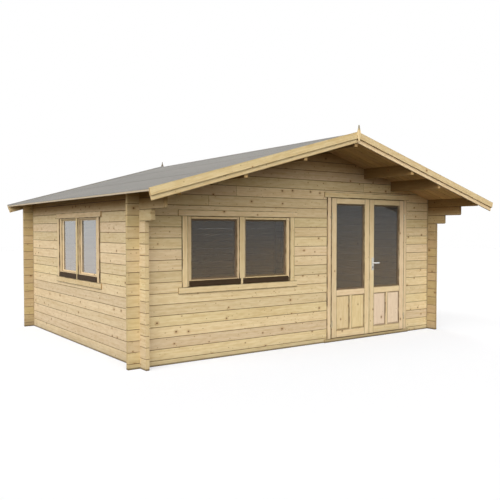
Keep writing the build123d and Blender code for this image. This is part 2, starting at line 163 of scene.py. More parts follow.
@dataclass
class Solid:
    """Closed surfaces with the attributes that the finishes read.

    Points and grain are (n, 3); tone, edge and end are (n,); each array of faces has faces of one size.
    """

    points: Array
    faces: list[Array]
    grain: Array
    tone: Array
    edge: Array
    end: Array

    @classmethod
    def joined(cls, parts: Sequence[Solid]) -> Solid:
        """Several solids as one.

        Args:
            parts: The solids, in the order that their points are kept in.

        Returns:
            One solid with all their points and faces.
        """
        shifts = np.cumsum([0] + [len(part.points) for part in parts[:-1]])
        faces = [face + shift for part, shift in zip(parts, shifts) for face in part.faces]
        names = ("points", "grain", "tone", "edge", "end")
        points, *rest = (np.concatenate([getattr(part, name) for part in parts]) for name in names)
        return cls(points, faces, *rest)

    @classmethod
    def plain(cls, points: Array, faces: list[Array], grain: Array | None = None) -> Solid:
        """A solid of middling tone whose edge and end masks are nil, with its faces turned outwards.

        Args:
            points: Its points, (n, 3).
            faces: Its faces, grouped by size.
            grain: The place in the grain of each point, or None for the point's own place.

        Returns:
            The solid.
        """
        nil = np.zeros(len(points))
        grain = points.copy() if grain is None else grain
        return cls(points, faces, grain, nil + 0.5, nil, nil.copy()).outward()

    def outward(self) -> Solid:
        """Turns the faces to point outwards, by the sign of the volume between them and the origin.

        Returns:
            This solid.
        """
        fans = [self.points[face] for face in self.faces]
        volume = sum(np.sum(fan[:, :1] * np.cross(fan[:, 1:-1], fan[:, 2:])) for fan in fans)
        if volume < 0:
            self.faces = [face[:, ::-1] for face in self.faces]
        return self


def placed(name: str, data: bpy.types.ID) -> bpy.types.Object:
    """A new object with its data, linked to the scene.

    Args:
        name: The object's name.
        data: Its mesh, lamp or camera.

    Returns:
        The object.
    """
    thing = bpy.data.objects.new(name, data)
    bpy.context.scene.collection.objects.link(thing)
    return thing


@dataclass
class Piece:
    """One new piece of the scene, with what it rides on and the node that it stands for."""

    name: str
    solid: Solid
    finish: Finish
    slot: str
    body: str = "cabin"
    node: str = ""
    smooth: bool = False

    def mesh(self) -> bpy.types.Mesh:
        """A mesh with the solid's points, faces and attributes.

        Returns:
            The mesh.
        """
        solid = self.solid
        mesh = bpy.data.meshes.new(self.name)
        faces = [face for group in solid.faces for face in group.tolist()]
        mesh.from_pydata(solid.points.tolist(), [], faces)
        mesh.polygons.foreach_set("use_smooth", np.full(len(faces), self.smooth))
        grain = mesh.attributes.new("grain", "FLOAT_VECTOR", "POINT")
        grain.data.foreach_set("vector", solid.grain.astype(np.float32).ravel())
        for key in ("tone", "edge", "end"):
            values = getattr(solid, key).astype(np.float32)
            mesh.attributes.new(key, "FLOAT", "POINT").data.foreach_set("value", values)
        return mesh

    def show(self) -> None:
        """Makes the object, ties it to the frame and reports it."""
        thing = placed(self.name, self.mesh())
        thing.data.materials.append(self.finish.material())
        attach(thing, self.body)
        if self.node:
            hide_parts(self.node)
        LOG.info("%s: %d points, rides on %s", self.name, len(self.solid.points), self.body)


@dataclass(frozen=True)
class Board:
    """One length of timber, a block in a seat, its grain along its longest side.

    A cut slants its start by that much for each metre up.
    """

    low: Triple
    high: Triple
    cut: float = 0.0


def tube_faces(count: int, stations: int, ring: int) -> list[Array]:
    """Faces of closed tubes whose points are numbered by tube, station and place in the ring.

    Args:
        count: How many tubes.
        stations: Rings in each.
        ring: Points in each ring, anticlockwise seen from the far end.

    Returns:
        The side faces, and the end faces.
    """
    index = np.arange(count * stations * ring).reshape(count, stations, ring)
    ahead = np.roll(index, -1, axis=2)
    sides = np.stack([index[:, :-1], ahead[:, :-1], ahead[:, 1:], index[:, 1:]], axis=-1)
    ends = np.concatenate([index[:, 0, ::-1], index[:, -1]])
    return [sides.reshape(-1, 4), ends]


class EasedBoards:
    """Boards with eased edges and ends.

    Each board is an oblong with rounded corners carried along its grain. With e for the ease, each corner is
    five points: 3e and e before it, its middle 0.29e in from both sides, then e and 3e after it. Stations
    are at 0, e and 3e from each end, the outermost drawn in by e. No ease is over 1/7 of the least side.
    """

    corner = np.array([(0, 3), (0, 1), (0.293, 0.293), (1, 0), (3, 0)], dtype=float)
    drawn = np.concatenate([corner, corner[::-1], corner, corner[::-1]])
    signs = np.repeat(np.array([(1, 1), (-1, 1), (-1, -1), (1, -1)], dtype=float), len(corner), axis=0)
    rims = (drawn < 2).astype(float).T
    inset = np.array([1.0, 0, 0, 0, 0, 1.0])
    step = np.array([0.0, 1, 3, -3, -1, 0])
    far = np.array([0.0, 0, 0, 1, 1, 1])
    end = np.array([1.0, 0.3, 0, 0, 0.3, 1.0])
    orders = np.array([[0, 1, 2], [1, 2, 0], [2, 0, 1]])
    end_rim = 0.5
    least_side = 7.0
    spread = 40.0

    @classmethod
    def build(
        cls, boards: Sequence[Board], seat: Seat, ease: float, seed: int, face: Axis = Axis.INWARD
    ) -> Solid:
        """All the boards at once, as arrays numbered by board, station, point and axis.

        A point is the station's run along the grain, moved by the cut times its height, with the oblong's two
        coordinates, turned into the frame by the seat's directions. Its place in the grain is its run, its
        way across the face and its depth. The edge mask, for painted shade, covers the sides and a thin
        border of the faces.

        Args:
            boards: The boards, in the seat's coordinates.
            seat: Where they are.
            ease: How far their edges are eased.
            seed: Starts the random draws.
            face: Axis of the seat that the boards' faces look along.

        Returns:
            The boards as one solid.
        """
        rng = np.random.default_rng(seed)
        corners = np.array([(board.low, board.high) for board in boards], dtype=float)
        ways = np.argmax(corners[:, 1] - corners[:, 0], axis=1)
        order = cls.orders[ways]
        low, high = np.moveaxis(np.take_along_axis(corners, order[:, None], 2), 1, 0)
        size = high - low
        eased = np.minimum(ease, size.min(axis=1) / cls.least_side)
        reach = size[:, None, None, 1:] / 2
        reach = reach - (cls.drawn + cls.inset[:, None, None]) * eased[:, None, None, None]
        oblong = (low + high)[:, None, None, 1:] / 2 + cls.signs * reach
        cut = np.array([board.cut for board in boards])[:, None] * (1 - cls.far)
        rise = np.where(ways[:, None, None] == Axis.RIGHT, oblong[..., 1], 0.0)
        run = low[:, :1] + cls.far * size[:, :1] + cls.step * eased[:, None]
        run = run[:, :, None] + cut[:, :, None] * rise
        local = np.concatenate([run[..., None], oblong], axis=-1)
        points = np.einsum("nrkc,ncd->nrkd", local, seat.axes()[order]) + np.array(seat.origin)
        shape = local.shape[:3]
        swapped = (order[:, 1] == face)[:, None, None, None]
        place = local - low[:, None, None, :]
        place = np.where(swapped, place[..., [0, 2, 1]], place)
        place = place + rng.uniform(0, cls.spread, (len(boards), 1, 1, 3))
        tone = rng.uniform(0, 1, (len(boards), 1, 1))
        rim = np.where(swapped[..., 0], cls.rims[1], cls.rims[0])
        rim = np.maximum(rim, cls.inset[:, None] * cls.end_rim)
        masks = (np.broadcast_to(mask, shape).ravel() for mask in (tone, rim, cls.end[:, None]))
        return Solid(points.reshape(-1, 3), tube_faces(*shape), place.reshape(-1, 3), *masks)


def mitred_beads(low: Triple, high: Triple, profile: Array, seat: Seat, seed: int) -> Solid:
    """A moulding round an oblong opening, its four sides mitred.

    The profile's points are (inset from the opening's edge, depth). On each side a point runs from its inset
    to the side's length less its inset, so that the ends lie at half a right angle.

    Args:
        low: Lowest corner of the opening as (right, depth of the profile's origin, up).
        high: Its highest corner; the depth isn't used.
        profile: The moulding's points, (k, 2).
        seat: Where the opening is.
        seed: Starts the random draws.

    Returns:
        The four sides as one solid.
    """
    rng = np.random.default_rng(seed)
    (left, depth, foot), (far, _, head) = low, high
    right, up = np.array([1.0, 0, 0]), np.array([0, 0, 1.0])
    origin = np.array([(left, depth, foot), (far, depth, foot), (far, depth, head), (left, depth, head)])
    along = np.array([right, up, -right, -up])
    across = np.array([up, -right, -up, right])
    length = np.tile([far - left, head - foot], 2)
    inset = profile[:, 0]
    run = np.stack([np.broadcast_to(inset, (4, len(inset))), length[:, None] - inset], axis=1)
    points = origin[:, None, None] + run[..., None] * along[:, None, None]
    points = points + inset[:, None] * across[:, None, None] + profile[:, 1:] * np.array([0.0, 1.0, 0.0])
    section = (np.broadcast_to(column, run.shape) for column in profile.T)
    place = np.stack([run, *section], axis=-1) + rng.uniform(0, EasedBoards.spread, (4, 1, 1, 3))
    tone = np.broadcast_to(rng.uniform(0, 1, (4, 1, 1)), run.shape)
    faces = tube_faces(4, 2, len(profile))
    solid = Solid.plain(seat.place(points.reshape(-1, 3)), faces, place.reshape(-1, 3))
    solid.tone = tone.ravel()
    return solid


def ringed(points: Array, seat: Seat, seed: int, edge: Array, end: Array) -> Solid:
    """A solid closed round rings of points, its grain running up.

    Args:
        points: Points by ring and place in the ring, (r, k, 3), in the seat's coordinates.
        seat: Where they are.
        seed: Starts the random draws.
        edge: Edge mask of each ring, (r,).
        end: End mask of each ring, (r,).

    Returns:
        The solid.
    """
    rng = np.random.default_rng(seed)
    rings, ring = points.shape[:2]
    flat = points.reshape(-1, 3)
    place = flat[:, [2, 0, 1]] + rng.uniform(0, EasedBoards.spread, 3)
    tone = np.full(len(flat), rng.uniform(0, 1))
    masks = (np.repeat(mask.astype(float), ring) for mask in (edge, end))
    return Solid(seat.place(flat), tube_faces(1, rings, ring), place, tone, *masks).outward()


# Insets of a panel's rings below this lie in its groove, darkened as painted shade.
PANEL_GROOVE = 0.0075


def raised_panel(low: Triple, high: Triple, rings: Array, seat: Seat, seed: int) -> Solid:
    """A panel made of oblongs one inside the other, each at its own inset and depth.

    The first ring closes the back and the last one the field in the middle. The end mask marks the groove
    round the front, for painted shade there that fades over the bevel.

    Args:
        low: Lowest corner as (right, depth of the rings' origin, up).
        high: Highest corner; the depth isn't used.
        rings: Inset and depth of each ring, (k, 2), from the back forwards.
        seat: Where the panel is.
        seed: Starts the random draws.

    Returns:
        The panel.
    """
    inset, depth = rings[:, :1], low[1] + rings[:, 1:]
    near, far = low[0] + inset, high[0] - inset
    foot, head = low[2] + inset, high[2] - inset
    across = np.concatenate([near, far, far, near], axis=1)
    rise = np.concatenate([foot, foot, head, head], axis=1)
    points = np.stack([across, np.broadcast_to(depth, across.shape), rise], axis=-1)
    shaded_groove = (rings[:, 0] < PANEL_GROOVE) & (np.arange(len(rings)) > 0)
    return ringed(points, seat, seed, np.zeros(len(rings)), shaded_groove)


def carried_outline(outline: Array, stations: Array, seat: Seat, seed: int) -> Solid:
    """A flat outline carried through a thickness, drawn in at each station.

    A point is the outline's middle plus the outline's offset from it times the station's share, at the
    station's depth. The edge mask lies on the first station, where the solid meets what it stands on,
    for a painted shadow line there.

    Args:
        outline: Points as (right, up), (k, 2).
        stations: Depth and share of each station, (r, 2).
        seat: Where the outline is.
        seed: Starts the random draws.

    Returns:
        The closed solid.
    """
    middle = (outline.min(axis=0) + outline.max(axis=0)) / 2
    flat = middle + (outline - middle) * stations[:, 1, None, None]
    depth = np.broadcast_to(stations[:, :1], flat.shape[:2])
    points = np.stack([flat[..., 0], depth, flat[..., 1]], axis=-1)
    return ringed(points, seat, seed, np.arange(len(stations)) == 0, np.zeros(len(stations)))


# Share of Z in an axis over which X is taken to find a direction square to it.
UPRIGHT = 0.9


def turned(profile: Array, spots: Array, axis: Triple, segments: int) -> Solid:
    """Copies of a turned shape: its profile swung round an axis at each spot.

    A point is the spot, plus the profile's height along the axis, plus its radius times the cosine and the
    sine of the angle along two directions square to the axis.

    Args:
        profile: Radius and height of each ring, (k, 2), with no ring of nil radius.
        spots: Where the copies are, (n, 3).
        axis: The way that height runs.
        segments: Points in each ring.

    Returns:
        The copies as one solid.
    """
    way = np.array(axis, dtype=float) / np.linalg.norm(axis)
    aside = np.cross(way, (0.0, 0.0, 1.0) if abs(way[2]) < UPRIGHT else (1.0, 0.0, 0.0))
    aside = aside / np.linalg.norm(aside)
    angle = np.arange(segments) * (2 * math.pi / segments)
    circle = np.cos(angle)[:, None] * aside + np.sin(angle)[:, None] * np.cross(way, aside)
    shape = profile[:, :1, None] * circle + profile[:, 1:, None] * way
    points = spots[:, None, None, :] + shape
    return Solid.plain(points.reshape(-1, 3), tube_faces(len(spots), len(profile), segments))


# Angles of a dome's rings, and how far its rim is sunk as a share of its height.
DOME_TURNS = np.array([0.0, 0.336, 0.672, 0.96]) * (math.pi / 2)
DOME_RIM = 0.4


def dome(radius: float, height: float) -> Array:
    """Profile of a low dome on a short rim: radius times the cosine, height times the sine of the turns."""
    top = np.stack([radius * np.cos(DOME_TURNS), height * np.sin(DOME_TURNS)], axis=1)
    return np.concatenate([[(radius, -height * DOME_RIM)], top])


def spot_grid(across: Sequence, depth: float, rise: Sequence) -> Array:
    """Every pair of a place across and a rise, as points of a seat at one depth."""
    x, z = np.meshgrid(across, rise, indexing="ij")
    return np.stack([x, np.full(x.shape, depth), z], axis=-1).reshape(-1, 3)


@dataclass(frozen=True)
class Veil:
    """A layer of soft noise: its scale along each axis, its detail, the soft step on it and its share."""

    scale: Triple
    detail: float
    step: Pair
    share: float


class Graph:
    """A node tree being wired."""

    def __init__(self, tree: bpy.types.NodeTree) -> None:
        """Starts from an empty tree."""
        self.tree = tree
        tree.nodes.clear()

    def add(self, kind: str, inputs: Mapping[Any, Any] | None = None, **settings: Any) -> bpy.types.Node:
        """Adds a node.

        Args:
            kind: The node's type.
            inputs: Values or sockets by the input's name or number.
            **settings: Properties of the node.

        Returns:
            The node.
        """
        node = self.tree.nodes.new(kind)
        for key, value in settings.items():
            setattr(node, key, value)
        for key, value in (inputs or {}).items():
            self.feed(node.inputs[key], value)
        return node

    def feed(self, socket: Socket, value: Any) -> None:
        """Links a socket to an input, or sets the input's value.

        Args:
            socket: The input.
            value: A socket, a number, a vector or a colour.
        """
        if isinstance(value, bpy.types.NodeSocket):
            self.tree.links.new(value, socket)
        else:
            socket.default_value = (*value, 1.0) if socket.type == "RGBA" else value

    def math(self, operation: str, *values: Any) -> Socket:
        """The result of a sum on numbers."""
        return self.add("ShaderNodeMath", dict(enumerate(values)), operation=operation).outputs[0]

    def times(self, first: Any, second: Any) -> Socket:
        """The product of two numbers."""
        return self.math("MULTIPLY", first, second)

    def ramp(self, value: Any, slope: Any, start: Any) -> Socket:
        """A number times a slope, plus a start."""
        return self.math("MULTIPLY_ADD", value, slope, start)

    def most(self, *values: Any) -> Socket:
        """The largest of several numbers."""
        return reduce(lambda first, second: self.math("MAXIMUM", first, second), values)

    def vector(self, operation: str, *values: Any) -> bpy.types.Node:
        """The node of a sum on vectors."""
        return self.add("ShaderNodeVectorMath", dict(enumerate(values)), operation=operation)

    def scaled(self, place: Any, scale: Any) -> Socket:
        """A place stretched by a scale for each axis."""
        return self.vector("MULTIPLY", place, scale).outputs[0]

    def smooth(self, value: Any, low: float, high: float) -> Socket:
        """A soft step from 0 at low to 1 at high."""
        inputs = {"Value": value, "From Min": low, "From Max": high}
        return self.add("ShaderNodeMapRange", inputs, interpolation_type="SMOOTHSTEP").outputs[0]

    def mix(self, share: Any, first: Any, second: Any, blend: str = "MIX") -> Socket:
        """Two colours mixed by a share."""
        inputs = {0: share, 6: first, 7: second}
        return self.add("ShaderNodeMix", inputs, data_type="RGBA", blend_type=blend).outputs[2]

    def cover(self, colour: Any, mask: Socket, share: float, over: Any) -> Socket:
        """A colour with another laid over it by a mask times a share."""
        return self.mix(self.times(mask, share), colour, over)

    def multiply(self, colour: Any, tint: Any) -> Socket:
        """A colour multiplied by a tint."""
        return self.mix(1.0, colour, tint, "MULTIPLY")

    def noise(self, place: Any, scale: Triple, detail: float = 2.0) -> Socket:
        """Noise from 0 to 1 on a place stretched by a scale for each axis."""
        inputs = {"Vector": self.scaled(place, scale), "Scale": 1.0, "Detail": detail}
        return self.add("ShaderNodeTexNoise", inputs).outputs[0]

    def veiled(self, place: Any, veil: Veil) -> Socket:
        """The soft step on a veil's noise."""
        return self.smooth(self.noise(place, veil.scale, veil.detail), *veil.step)

    def join(self, x: Any, y: Any, z: Any) -> Socket:
        """A vector of three numbers."""
        return self.add("ShaderNodeCombineXYZ", {0: x, 1: y, 2: z}).outputs[0]

    def split(self, vector: Socket) -> list[Socket]:
        """The three numbers of a vector."""
        return list(self.add("ShaderNodeSeparateXYZ", {0: vector}).outputs)


class Paint(Graph):
    """The graph of a material, with its shader and the place on the piece."""

    bump_strength: float = 0.6

    def __init__(self, tree: bpy.types.NodeTree) -> None:
        """Clears a material's tree and starts it with a shader.

        Args:
            tree: The tree.
        """
        super().__init__(tree)
        self.shader = self.add("ShaderNodeBsdfPrincipled")
        self.add("ShaderNodeOutputMaterial", {"Surface": self.shader.outputs[0]})
        self.place = self.add("ShaderNodeTexCoord").outputs["Object"]

    def give(self, inputs: Mapping[str, Any]) -> None:
        """Feeds or sets the shader's inputs by name."""
        for key, value in inputs.items():
            self.feed(self.shader.inputs[key], value)

    def attribute(self, name: str, output: str = "Fac") -> Socket:
        """An attribute of the piece's points."""
        return self.add("ShaderNodeAttribute", attribute_name=name).outputs[output]

    def relief(self, height: Socket, depth: float) -> None:
        """Turns a height from 0 to 1 into the shader's normal, with the depth of 1 in metres."""
        inputs = {"Height": height, "Distance": depth, "Strength": self.bump_strength}
        self.give({"Normal": self.add("ShaderNodeBump", inputs).outputs[0]})


class Plug(Enum):
    """Kinds of socket on a node group."""

    VALUE = "NodeSocketFloat"
    VECTOR = "NodeSocketVector"
    COLOUR = "NodeSocketColor"


class Effect(Graph):
    """A shader node group that several finishes share; each kind names its sockets and wires itself."""

    title: str = ""
    takes: Mapping[str, Plug] = {}
    gives: Mapping[str, Plug] = {}

    def __init__(self) -> None:
        """Starts the group with its sockets and wires it from end to end."""
        super().__init__(bpy.data.node_groups.new(self.title, "ShaderNodeTree"))
        for way, plugs in (("INPUT", self.takes), ("OUTPUT", self.gives)):
            for key, plug in plugs.items():
                self.tree.interface.new_socket(key, in_out=way, socket_type=plug.value)
        self.given = self.add("NodeGroupInput").outputs
        self.add("NodeGroupOutput", self.wire())

    def wire(self) -> Sockets:
        """The outputs by name, worked out from the given inputs; each kind of effect has its own way."""
        raise NotImplementedError

    @classmethod
    def use(cls, graph: Graph, inputs: Mapping[str, Any]) -> Sockets:
        """Places the group in a material, building it at its first use, and gives its outputs by name."""
        group = bpy.data.node_groups.get(cls.title) or cls().tree
        return graph.add("ShaderNodeGroup", inputs, node_tree=group).outputs


class PineFigure(Effect):
    """Rings, fibres and knots of sawn pine, on a place of (along, across, depth) in metres.

    Rings are bands of the distance from a pith that wanders slowly along the board and is pushed aside by
    knots. Knots are the middles of scattered cells, kept where the cell's random number is below their share.
    Specks are a finer scatter of the same kind, and veils of mottle, streaks and clouds lie over the whole.
    """

    title = "pine_figure"
    takes = {
        "Place": Plug.VECTOR,
        **dict.fromkeys(("Tone", "Knots"), Plug.VALUE),
        **dict.fromkeys(("Light", "Dark", "Knot"), Plug.COLOUR),
    }
    gives = {"Colour": Plug.COLOUR, "Height": Plug.VALUE, "Roughness": Plug.VALUE}

    knot_cells = (6.5, 8.0, 0.0)
    knot_growth = (0.07, 0.028)
    knot_core = (1.05, 0.6)
    knot_halo = (3.0, 0.7)
    core_share = 0.88
    halo_share = 0.45
    halo_brown = (0.42, 0.22, 0.08)
    knot_gloss = -0.15
    speck_cells = (17.0, 24.0, 0.0)
    speck_growth = (0.11, 0.06)
    speck_step = (1.1, 0.5)
    speck_chance = 0.5
    speck_share = 0.6
    speck_brown = (0.26, 0.14, 0.05)
    wander_scale = (0.5, 5.0, 5.0)
    wander = 0.12
    knot_push = 0.012
    pith_depth = 0.04
    ring_rate = 820.0
    late_step = (0.1, 1.0)
    late_share = 0.22
    fibre_scale = (7.0, 330.0, 330.0)
    fibre_shares = (0.2, -0.15)
    veils = (
        Veil((9.0, 38.0, 38.0), 4.0, (0.38, 0.64), 0.36),
        Veil((1.1, 46.0, 46.0), 4.0, (0.35, 0.75), 0.42),
        Veil((0.8, 5.0, 5.0), 2.0, (0.45, 0.8), 0.2),
    )
    rosy = (1.015, 0.98, 1.04)
    yellow = (1.0, 1.0, 0.93)
    level_rate = 7.3
    levels = (0.15, 0.92)
    roughness = (0.22, 0.56)
    height_shares = (0.4, 0.6)

    def scatter(self, cells: Triple, chance: Any) -> tuple[Socket, Socket, Socket]:
        """Spots scattered over a face, one in each of the cells that chance keeps.

        Args:
            cells: Cells in a metre along each axis.
            chance: Share of the cells that are kept.

        Returns:
            Distance from the nearest spot in cells, the spot's random size, and 1 where it is kept.
        """
        inputs = {"Vector": self.scaled(self.given["Place"], cells), "Scale": 1.0}
        found = self.add("ShaderNodeTexVoronoi", inputs, voronoi_dimensions="2D").outputs
        pick, size, _ = self.split(found["Color"])
        return found["Distance"], size, self.math("LESS_THAN", pick, chance)

    def wire(self) -> Sockets:
        """Wires the group.

        Returns:
            Its outputs by name.
        """
        place, tone = self.given["Place"], self.given["Tone"]
        distance, size, there = self.scatter(self.knot_cells, self.given["Knots"])
        radius = self.ramp(self.times(size, size), *self.knot_growth)
        away = self.math("DIVIDE", distance, radius)
        core = self.times(self.smooth(away, *self.knot_core), there)
        halo = self.times(self.smooth(away, *self.knot_halo), there)

        _, across, depth = self.split(place)
        pith = self.ramp(self.noise(place, self.wander_scale), self.wander, across)
        pith = self.ramp(halo, self.knot_push, pith)
        ray = self.join(0.0, pith, self.math("ADD", depth, self.pith_depth))
        ring = self.times(self.vector("LENGTH", ray).outputs["Value"], self.ring_rate)
        late = self.smooth(self.math("SINE", ring), *self.late_step)
        fibre = self.noise(place, self.fibre_scale)
        figure = self.ramp(fibre, *self.fibre_shares)
        figure = self.ramp(late, self.late_share, figure)
        for veil in self.veils:
            figure = self.ramp(self.veiled(place, veil), veil.share, figure)

        colour = self.mix(figure, self.given["Light"], self.given["Dark"])
        colour = self.multiply(colour, self.mix(tone, self.rosy, self.yellow))
        step = self.math("FRACT", self.times(tone, self.level_rate))
        level = self.ramp(step, *self.levels)
        colour = self.multiply(colour, self.join(level, level, level))
        colour = self.cover(colour, halo, self.halo_share, self.halo_brown)
        colour = self.cover(colour, core, self.core_share, self.given["Knot"])

        few = self.times(self.given["Knots"], self.speck_chance)
        distance, size, there = self.scatter(self.speck_cells, few)
        away = self.math("DIVIDE", distance, self.ramp(size, *self.speck_growth))
        speck = self.times(self.smooth(away, *self.speck_step), there)
        colour = self.cover(colour, speck, self.speck_share, self.speck_brown)

        rough = self.ramp(fibre, *self.roughness)
        late_share, fibre_share = self.height_shares
        height = self.ramp(late, late_share, self.times(fibre, fibre_share))
        rough = self.ramp(core, self.knot_gloss, rough)
        return {"Colour": colour, "Height": height, "Roughness": rough}


class LogCourses(Effect):
    """Number of the log at a height, as a random tone and a shift of the grain, with a mask of the joints."""

    title = "log_courses"
    takes = dict.fromkeys(("Height", "First", "Seed"), Plug.VALUE)
    gives = {"Tone": Plug.VALUE, "Shift": Plug.VECTOR, "Joint": Plug.VALUE}

    shifts = (37.0, 23.0, 11.0)
    joint_step = (0.038, 0.017)

    def wire(self) -> Sockets:
        """Wires the group.

        Returns:
            Its outputs by name.
        """
        above = self.math("SUBTRACT", self.given["Height"], self.given["First"])
        course = self.math("DIVIDE", above, PLAN.log_rise)
        number = self.math("ADD", self.math("FLOOR", course), self.given["Seed"])
        scatter = self.add("ShaderNodeTexWhiteNoise", {"W": number}, noise_dimensions="1D").outputs
        part = self.math("FRACT", course)
        near = self.math("MINIMUM", part, self.math("SUBTRACT", 1.0, part))
        shift = self.scaled(scatter["Color"], self.shifts)
        return {"Tone": scatter["Value"], "Shift": shift, "Joint": self.smooth(near, *self.joint_step)}


class WornEdge(Effect):
    """Edge mask broken up by noise, so that painted shade comes and goes along an arris."""

    title = "worn_edge"
    takes = {"Place": Plug.VECTOR, "Edge": Plug.VALUE}
    gives = {"Wear": Plug.VALUE}

    patch = Veil((9.0, 30.0, 30.0), 3.0, (0.3, 0.7), 0.6)
    least = 0.4

    def wire(self) -> Sockets:
        """Wires the group.

        Returns:
            Its outputs by name.
        """
        patch = self.veiled(self.given["Place"], self.patch)
        share = self.ramp(patch, self.patch.share, self.least)
        return {"Wear": self.times(share, self.given["Edge"])}


class GroundSplash(Effect):
    """Mask of damp grime fading with height, and of a dark line of painted contact shadow at the ground."""

    title = "ground_splash"
    takes = {"Place": Plug.VECTOR}
    gives = {"Splash": Plug.VALUE}

    damp = Veil((3.0, 3.0, 9.0), 4.0, (0.07, -0.08), 0.3)
    rise = -0.14
    # Painted contact shadow: a dark line at the ground.
    line_step = (0.03, 0.01)

    def wire(self) -> Sockets:
        """Wires the group.

        Returns:
            Its outputs by name.
        """
        height = self.split(self.given["Place"])[2]
        patch = self.noise(self.given["Place"], self.damp.scale, self.damp.detail)
        low = self.smooth(self.ramp(patch, self.rise, height), *self.damp.step)
        faint = self.times(low, self.damp.share)
        return {"Splash": self.most(faint, self.smooth(height, *self.line_step))}


@dataclass(frozen=True)
class Finish:
    """What every finish has: a name, and the material made from it once."""

    name: str

    def material(self) -> bpy.types.Material:
        """The finish's material, wired at its first use.

        Returns:
            The material.
        """
        known = bpy.data.materials.get(self.name)
        if known:
            return known
        made = bpy.data.materials.new(self.name)
        made.use_nodes = True
        self.wire(Paint(made.node_tree))
        return made

    def wire(self, paint: Paint) -> None:
        """Feeds the shader; each kind of finish has its own way."""
        raise NotImplementedError


@dataclass
class Cut:
    """Where a timber's figure lies, and the masks and the tint that go over it."""

    place: Socket
    tone: Socket
    end: Socket
    edge: Socket | None = None
    joint: Socket | None = None
    tint: Socket | None = None


@dataclass(frozen=True)
class Timber(Finish):
    """Bare or stained pine whose grain follows a board's own attributes or an axis of the frame.

    No grain stands for the attributes, right for the frame's X and inward for its Y. Between two heights
    the colour comes to be multiplied by the deep tint, painted shade over everything higher up.
    """

    light: Colour = (0.76, 0.63, 0.395)
    dark: Colour = (0.6, 0.45, 0.235)
    knot: Colour = (0.13, 0.06, 0.025)
    end: Colour = (0.55, 0.37, 0.17)
    # Colour of the painted shade on the sides and edges of boards.
    worn: Colour = (0.13, 0.08, 0.035)
    knots: float = 0.4
    grain: Axis | None = None
    # Share of that painted shade on the edges.
    wear: float = 0.85
    # Heights between which painted shade comes in, and its tint.
    shelter: Pair | None = None
    deep: Colour = WHITE
    # Colour of the joints, which log walls also use for painted shade in their corners.
    joint: Colour = (0.13, 0.07, 0.022)
    # Colour and share of the ground damp and of the painted contact shadow.
    dirt: Colour = (0.08, 0.055, 0.03)
    end_share: float = 0.55
    joint_share: float = 0.85
    dirt_share: float = 0.8
    end_facing: Pair = (0.7, 0.9)
    tone_rates: Pair = (3.1, 0.9)
    specular: float = 0.15
    depth: float = 0.0006

    def cut(self, paint: Paint) -> Cut:
        """Place in the grain, tone and masks, from the piece's attributes or from the frame's axes.

        Args:
            paint: The material's graph.

        Returns:
            The sockets; there is no edge mask where the frame's axes give the grain.
        """
        if self.grain is None:
            tone, end, edge = (paint.attribute(key) for key in ("tone", "end", "edge"))
            return Cut(paint.attribute("grain", "Vector"), tone, end, edge)
        x, y, z = paint.split(paint.place)
        normal = paint.split(paint.add("ShaderNodeNewGeometry").outputs["Normal"])
        along, depth, facing = (x, y, normal[0]) if self.grain is Axis.RIGHT else (y, x, normal[1])
        depth_rate, height_rate = self.tone_rates
        block = paint.ramp(depth, depth_rate, paint.times(z, height_rate))
        tone = paint.noise(paint.join(block, 0.0, 0.0), WHITE, 0.0)
        end = paint.smooth(paint.math("ABSOLUTE", facing), *self.end_facing)
        return Cut(paint.join(along, z, depth), tone, end)

    def wire(self, paint: Paint) -> None:
        """Pine figure, painted shade on the edges and darker end grain, with painted shade by height.

        Args:
            paint: The material's graph.
        """
        cut = self.cut(paint)
        if self.shelter:
            cut.tint = self.shade(paint)
        self.dress(paint, cut)

    def shade(self, paint: Paint) -> Socket:
        """The painted shade that tints the colour at each height."""
        height = paint.split(paint.place)[2]
        return paint.mix(paint.smooth(height, *self.shelter), WHITE, self.deep)

    def dress(self, paint: Paint, cut: Cut) -> None:
        """Feeds the shader: figure, painted shade on the edges, end grain, joints and painted corner shade,
        damp with a painted contact shadow, and the tint, each over the ones before.

        Args:
            paint: The material's graph.
            cut: Where the figure lies, and what goes over it.
        """
        inputs = {"Place": cut.place, "Tone": cut.tone, "Knots": self.knots}
        inputs.update({"Light": self.light, "Dark": self.dark, "Knot": self.knot})
        figure = PineFigure.use(paint, inputs)
        colour = figure["Colour"]
        # Painted shade on the sides and edges of boards, where the edge mask lies.
        if cut.edge is not None:
            wear = WornEdge.use(paint, {"Place": cut.place, "Edge": cut.edge})["Wear"]
            colour = paint.cover(colour, wear, self.wear, self.worn)
        colour = paint.cover(colour, cut.end, self.end_share, self.end)
        if cut.joint is not None:
            colour = paint.cover(colour, cut.joint, self.joint_share, self.joint)
        # Ground damp, and a painted contact shadow at the foot.
        splash_and_shadow = GroundSplash.use(paint, {"Place": paint.place})["Splash"]
        colour = paint.cover(colour, splash_and_shadow, self.dirt_share, self.dirt)
        if cut.tint is not None:
            colour = paint.multiply(colour, cut.tint)
        paint.give({"Base Color": colour, "Roughness": figure["Roughness"]})
        paint.give({"Specular IOR Level": self.specular})
        paint.relief(figure["Height"], self.depth)


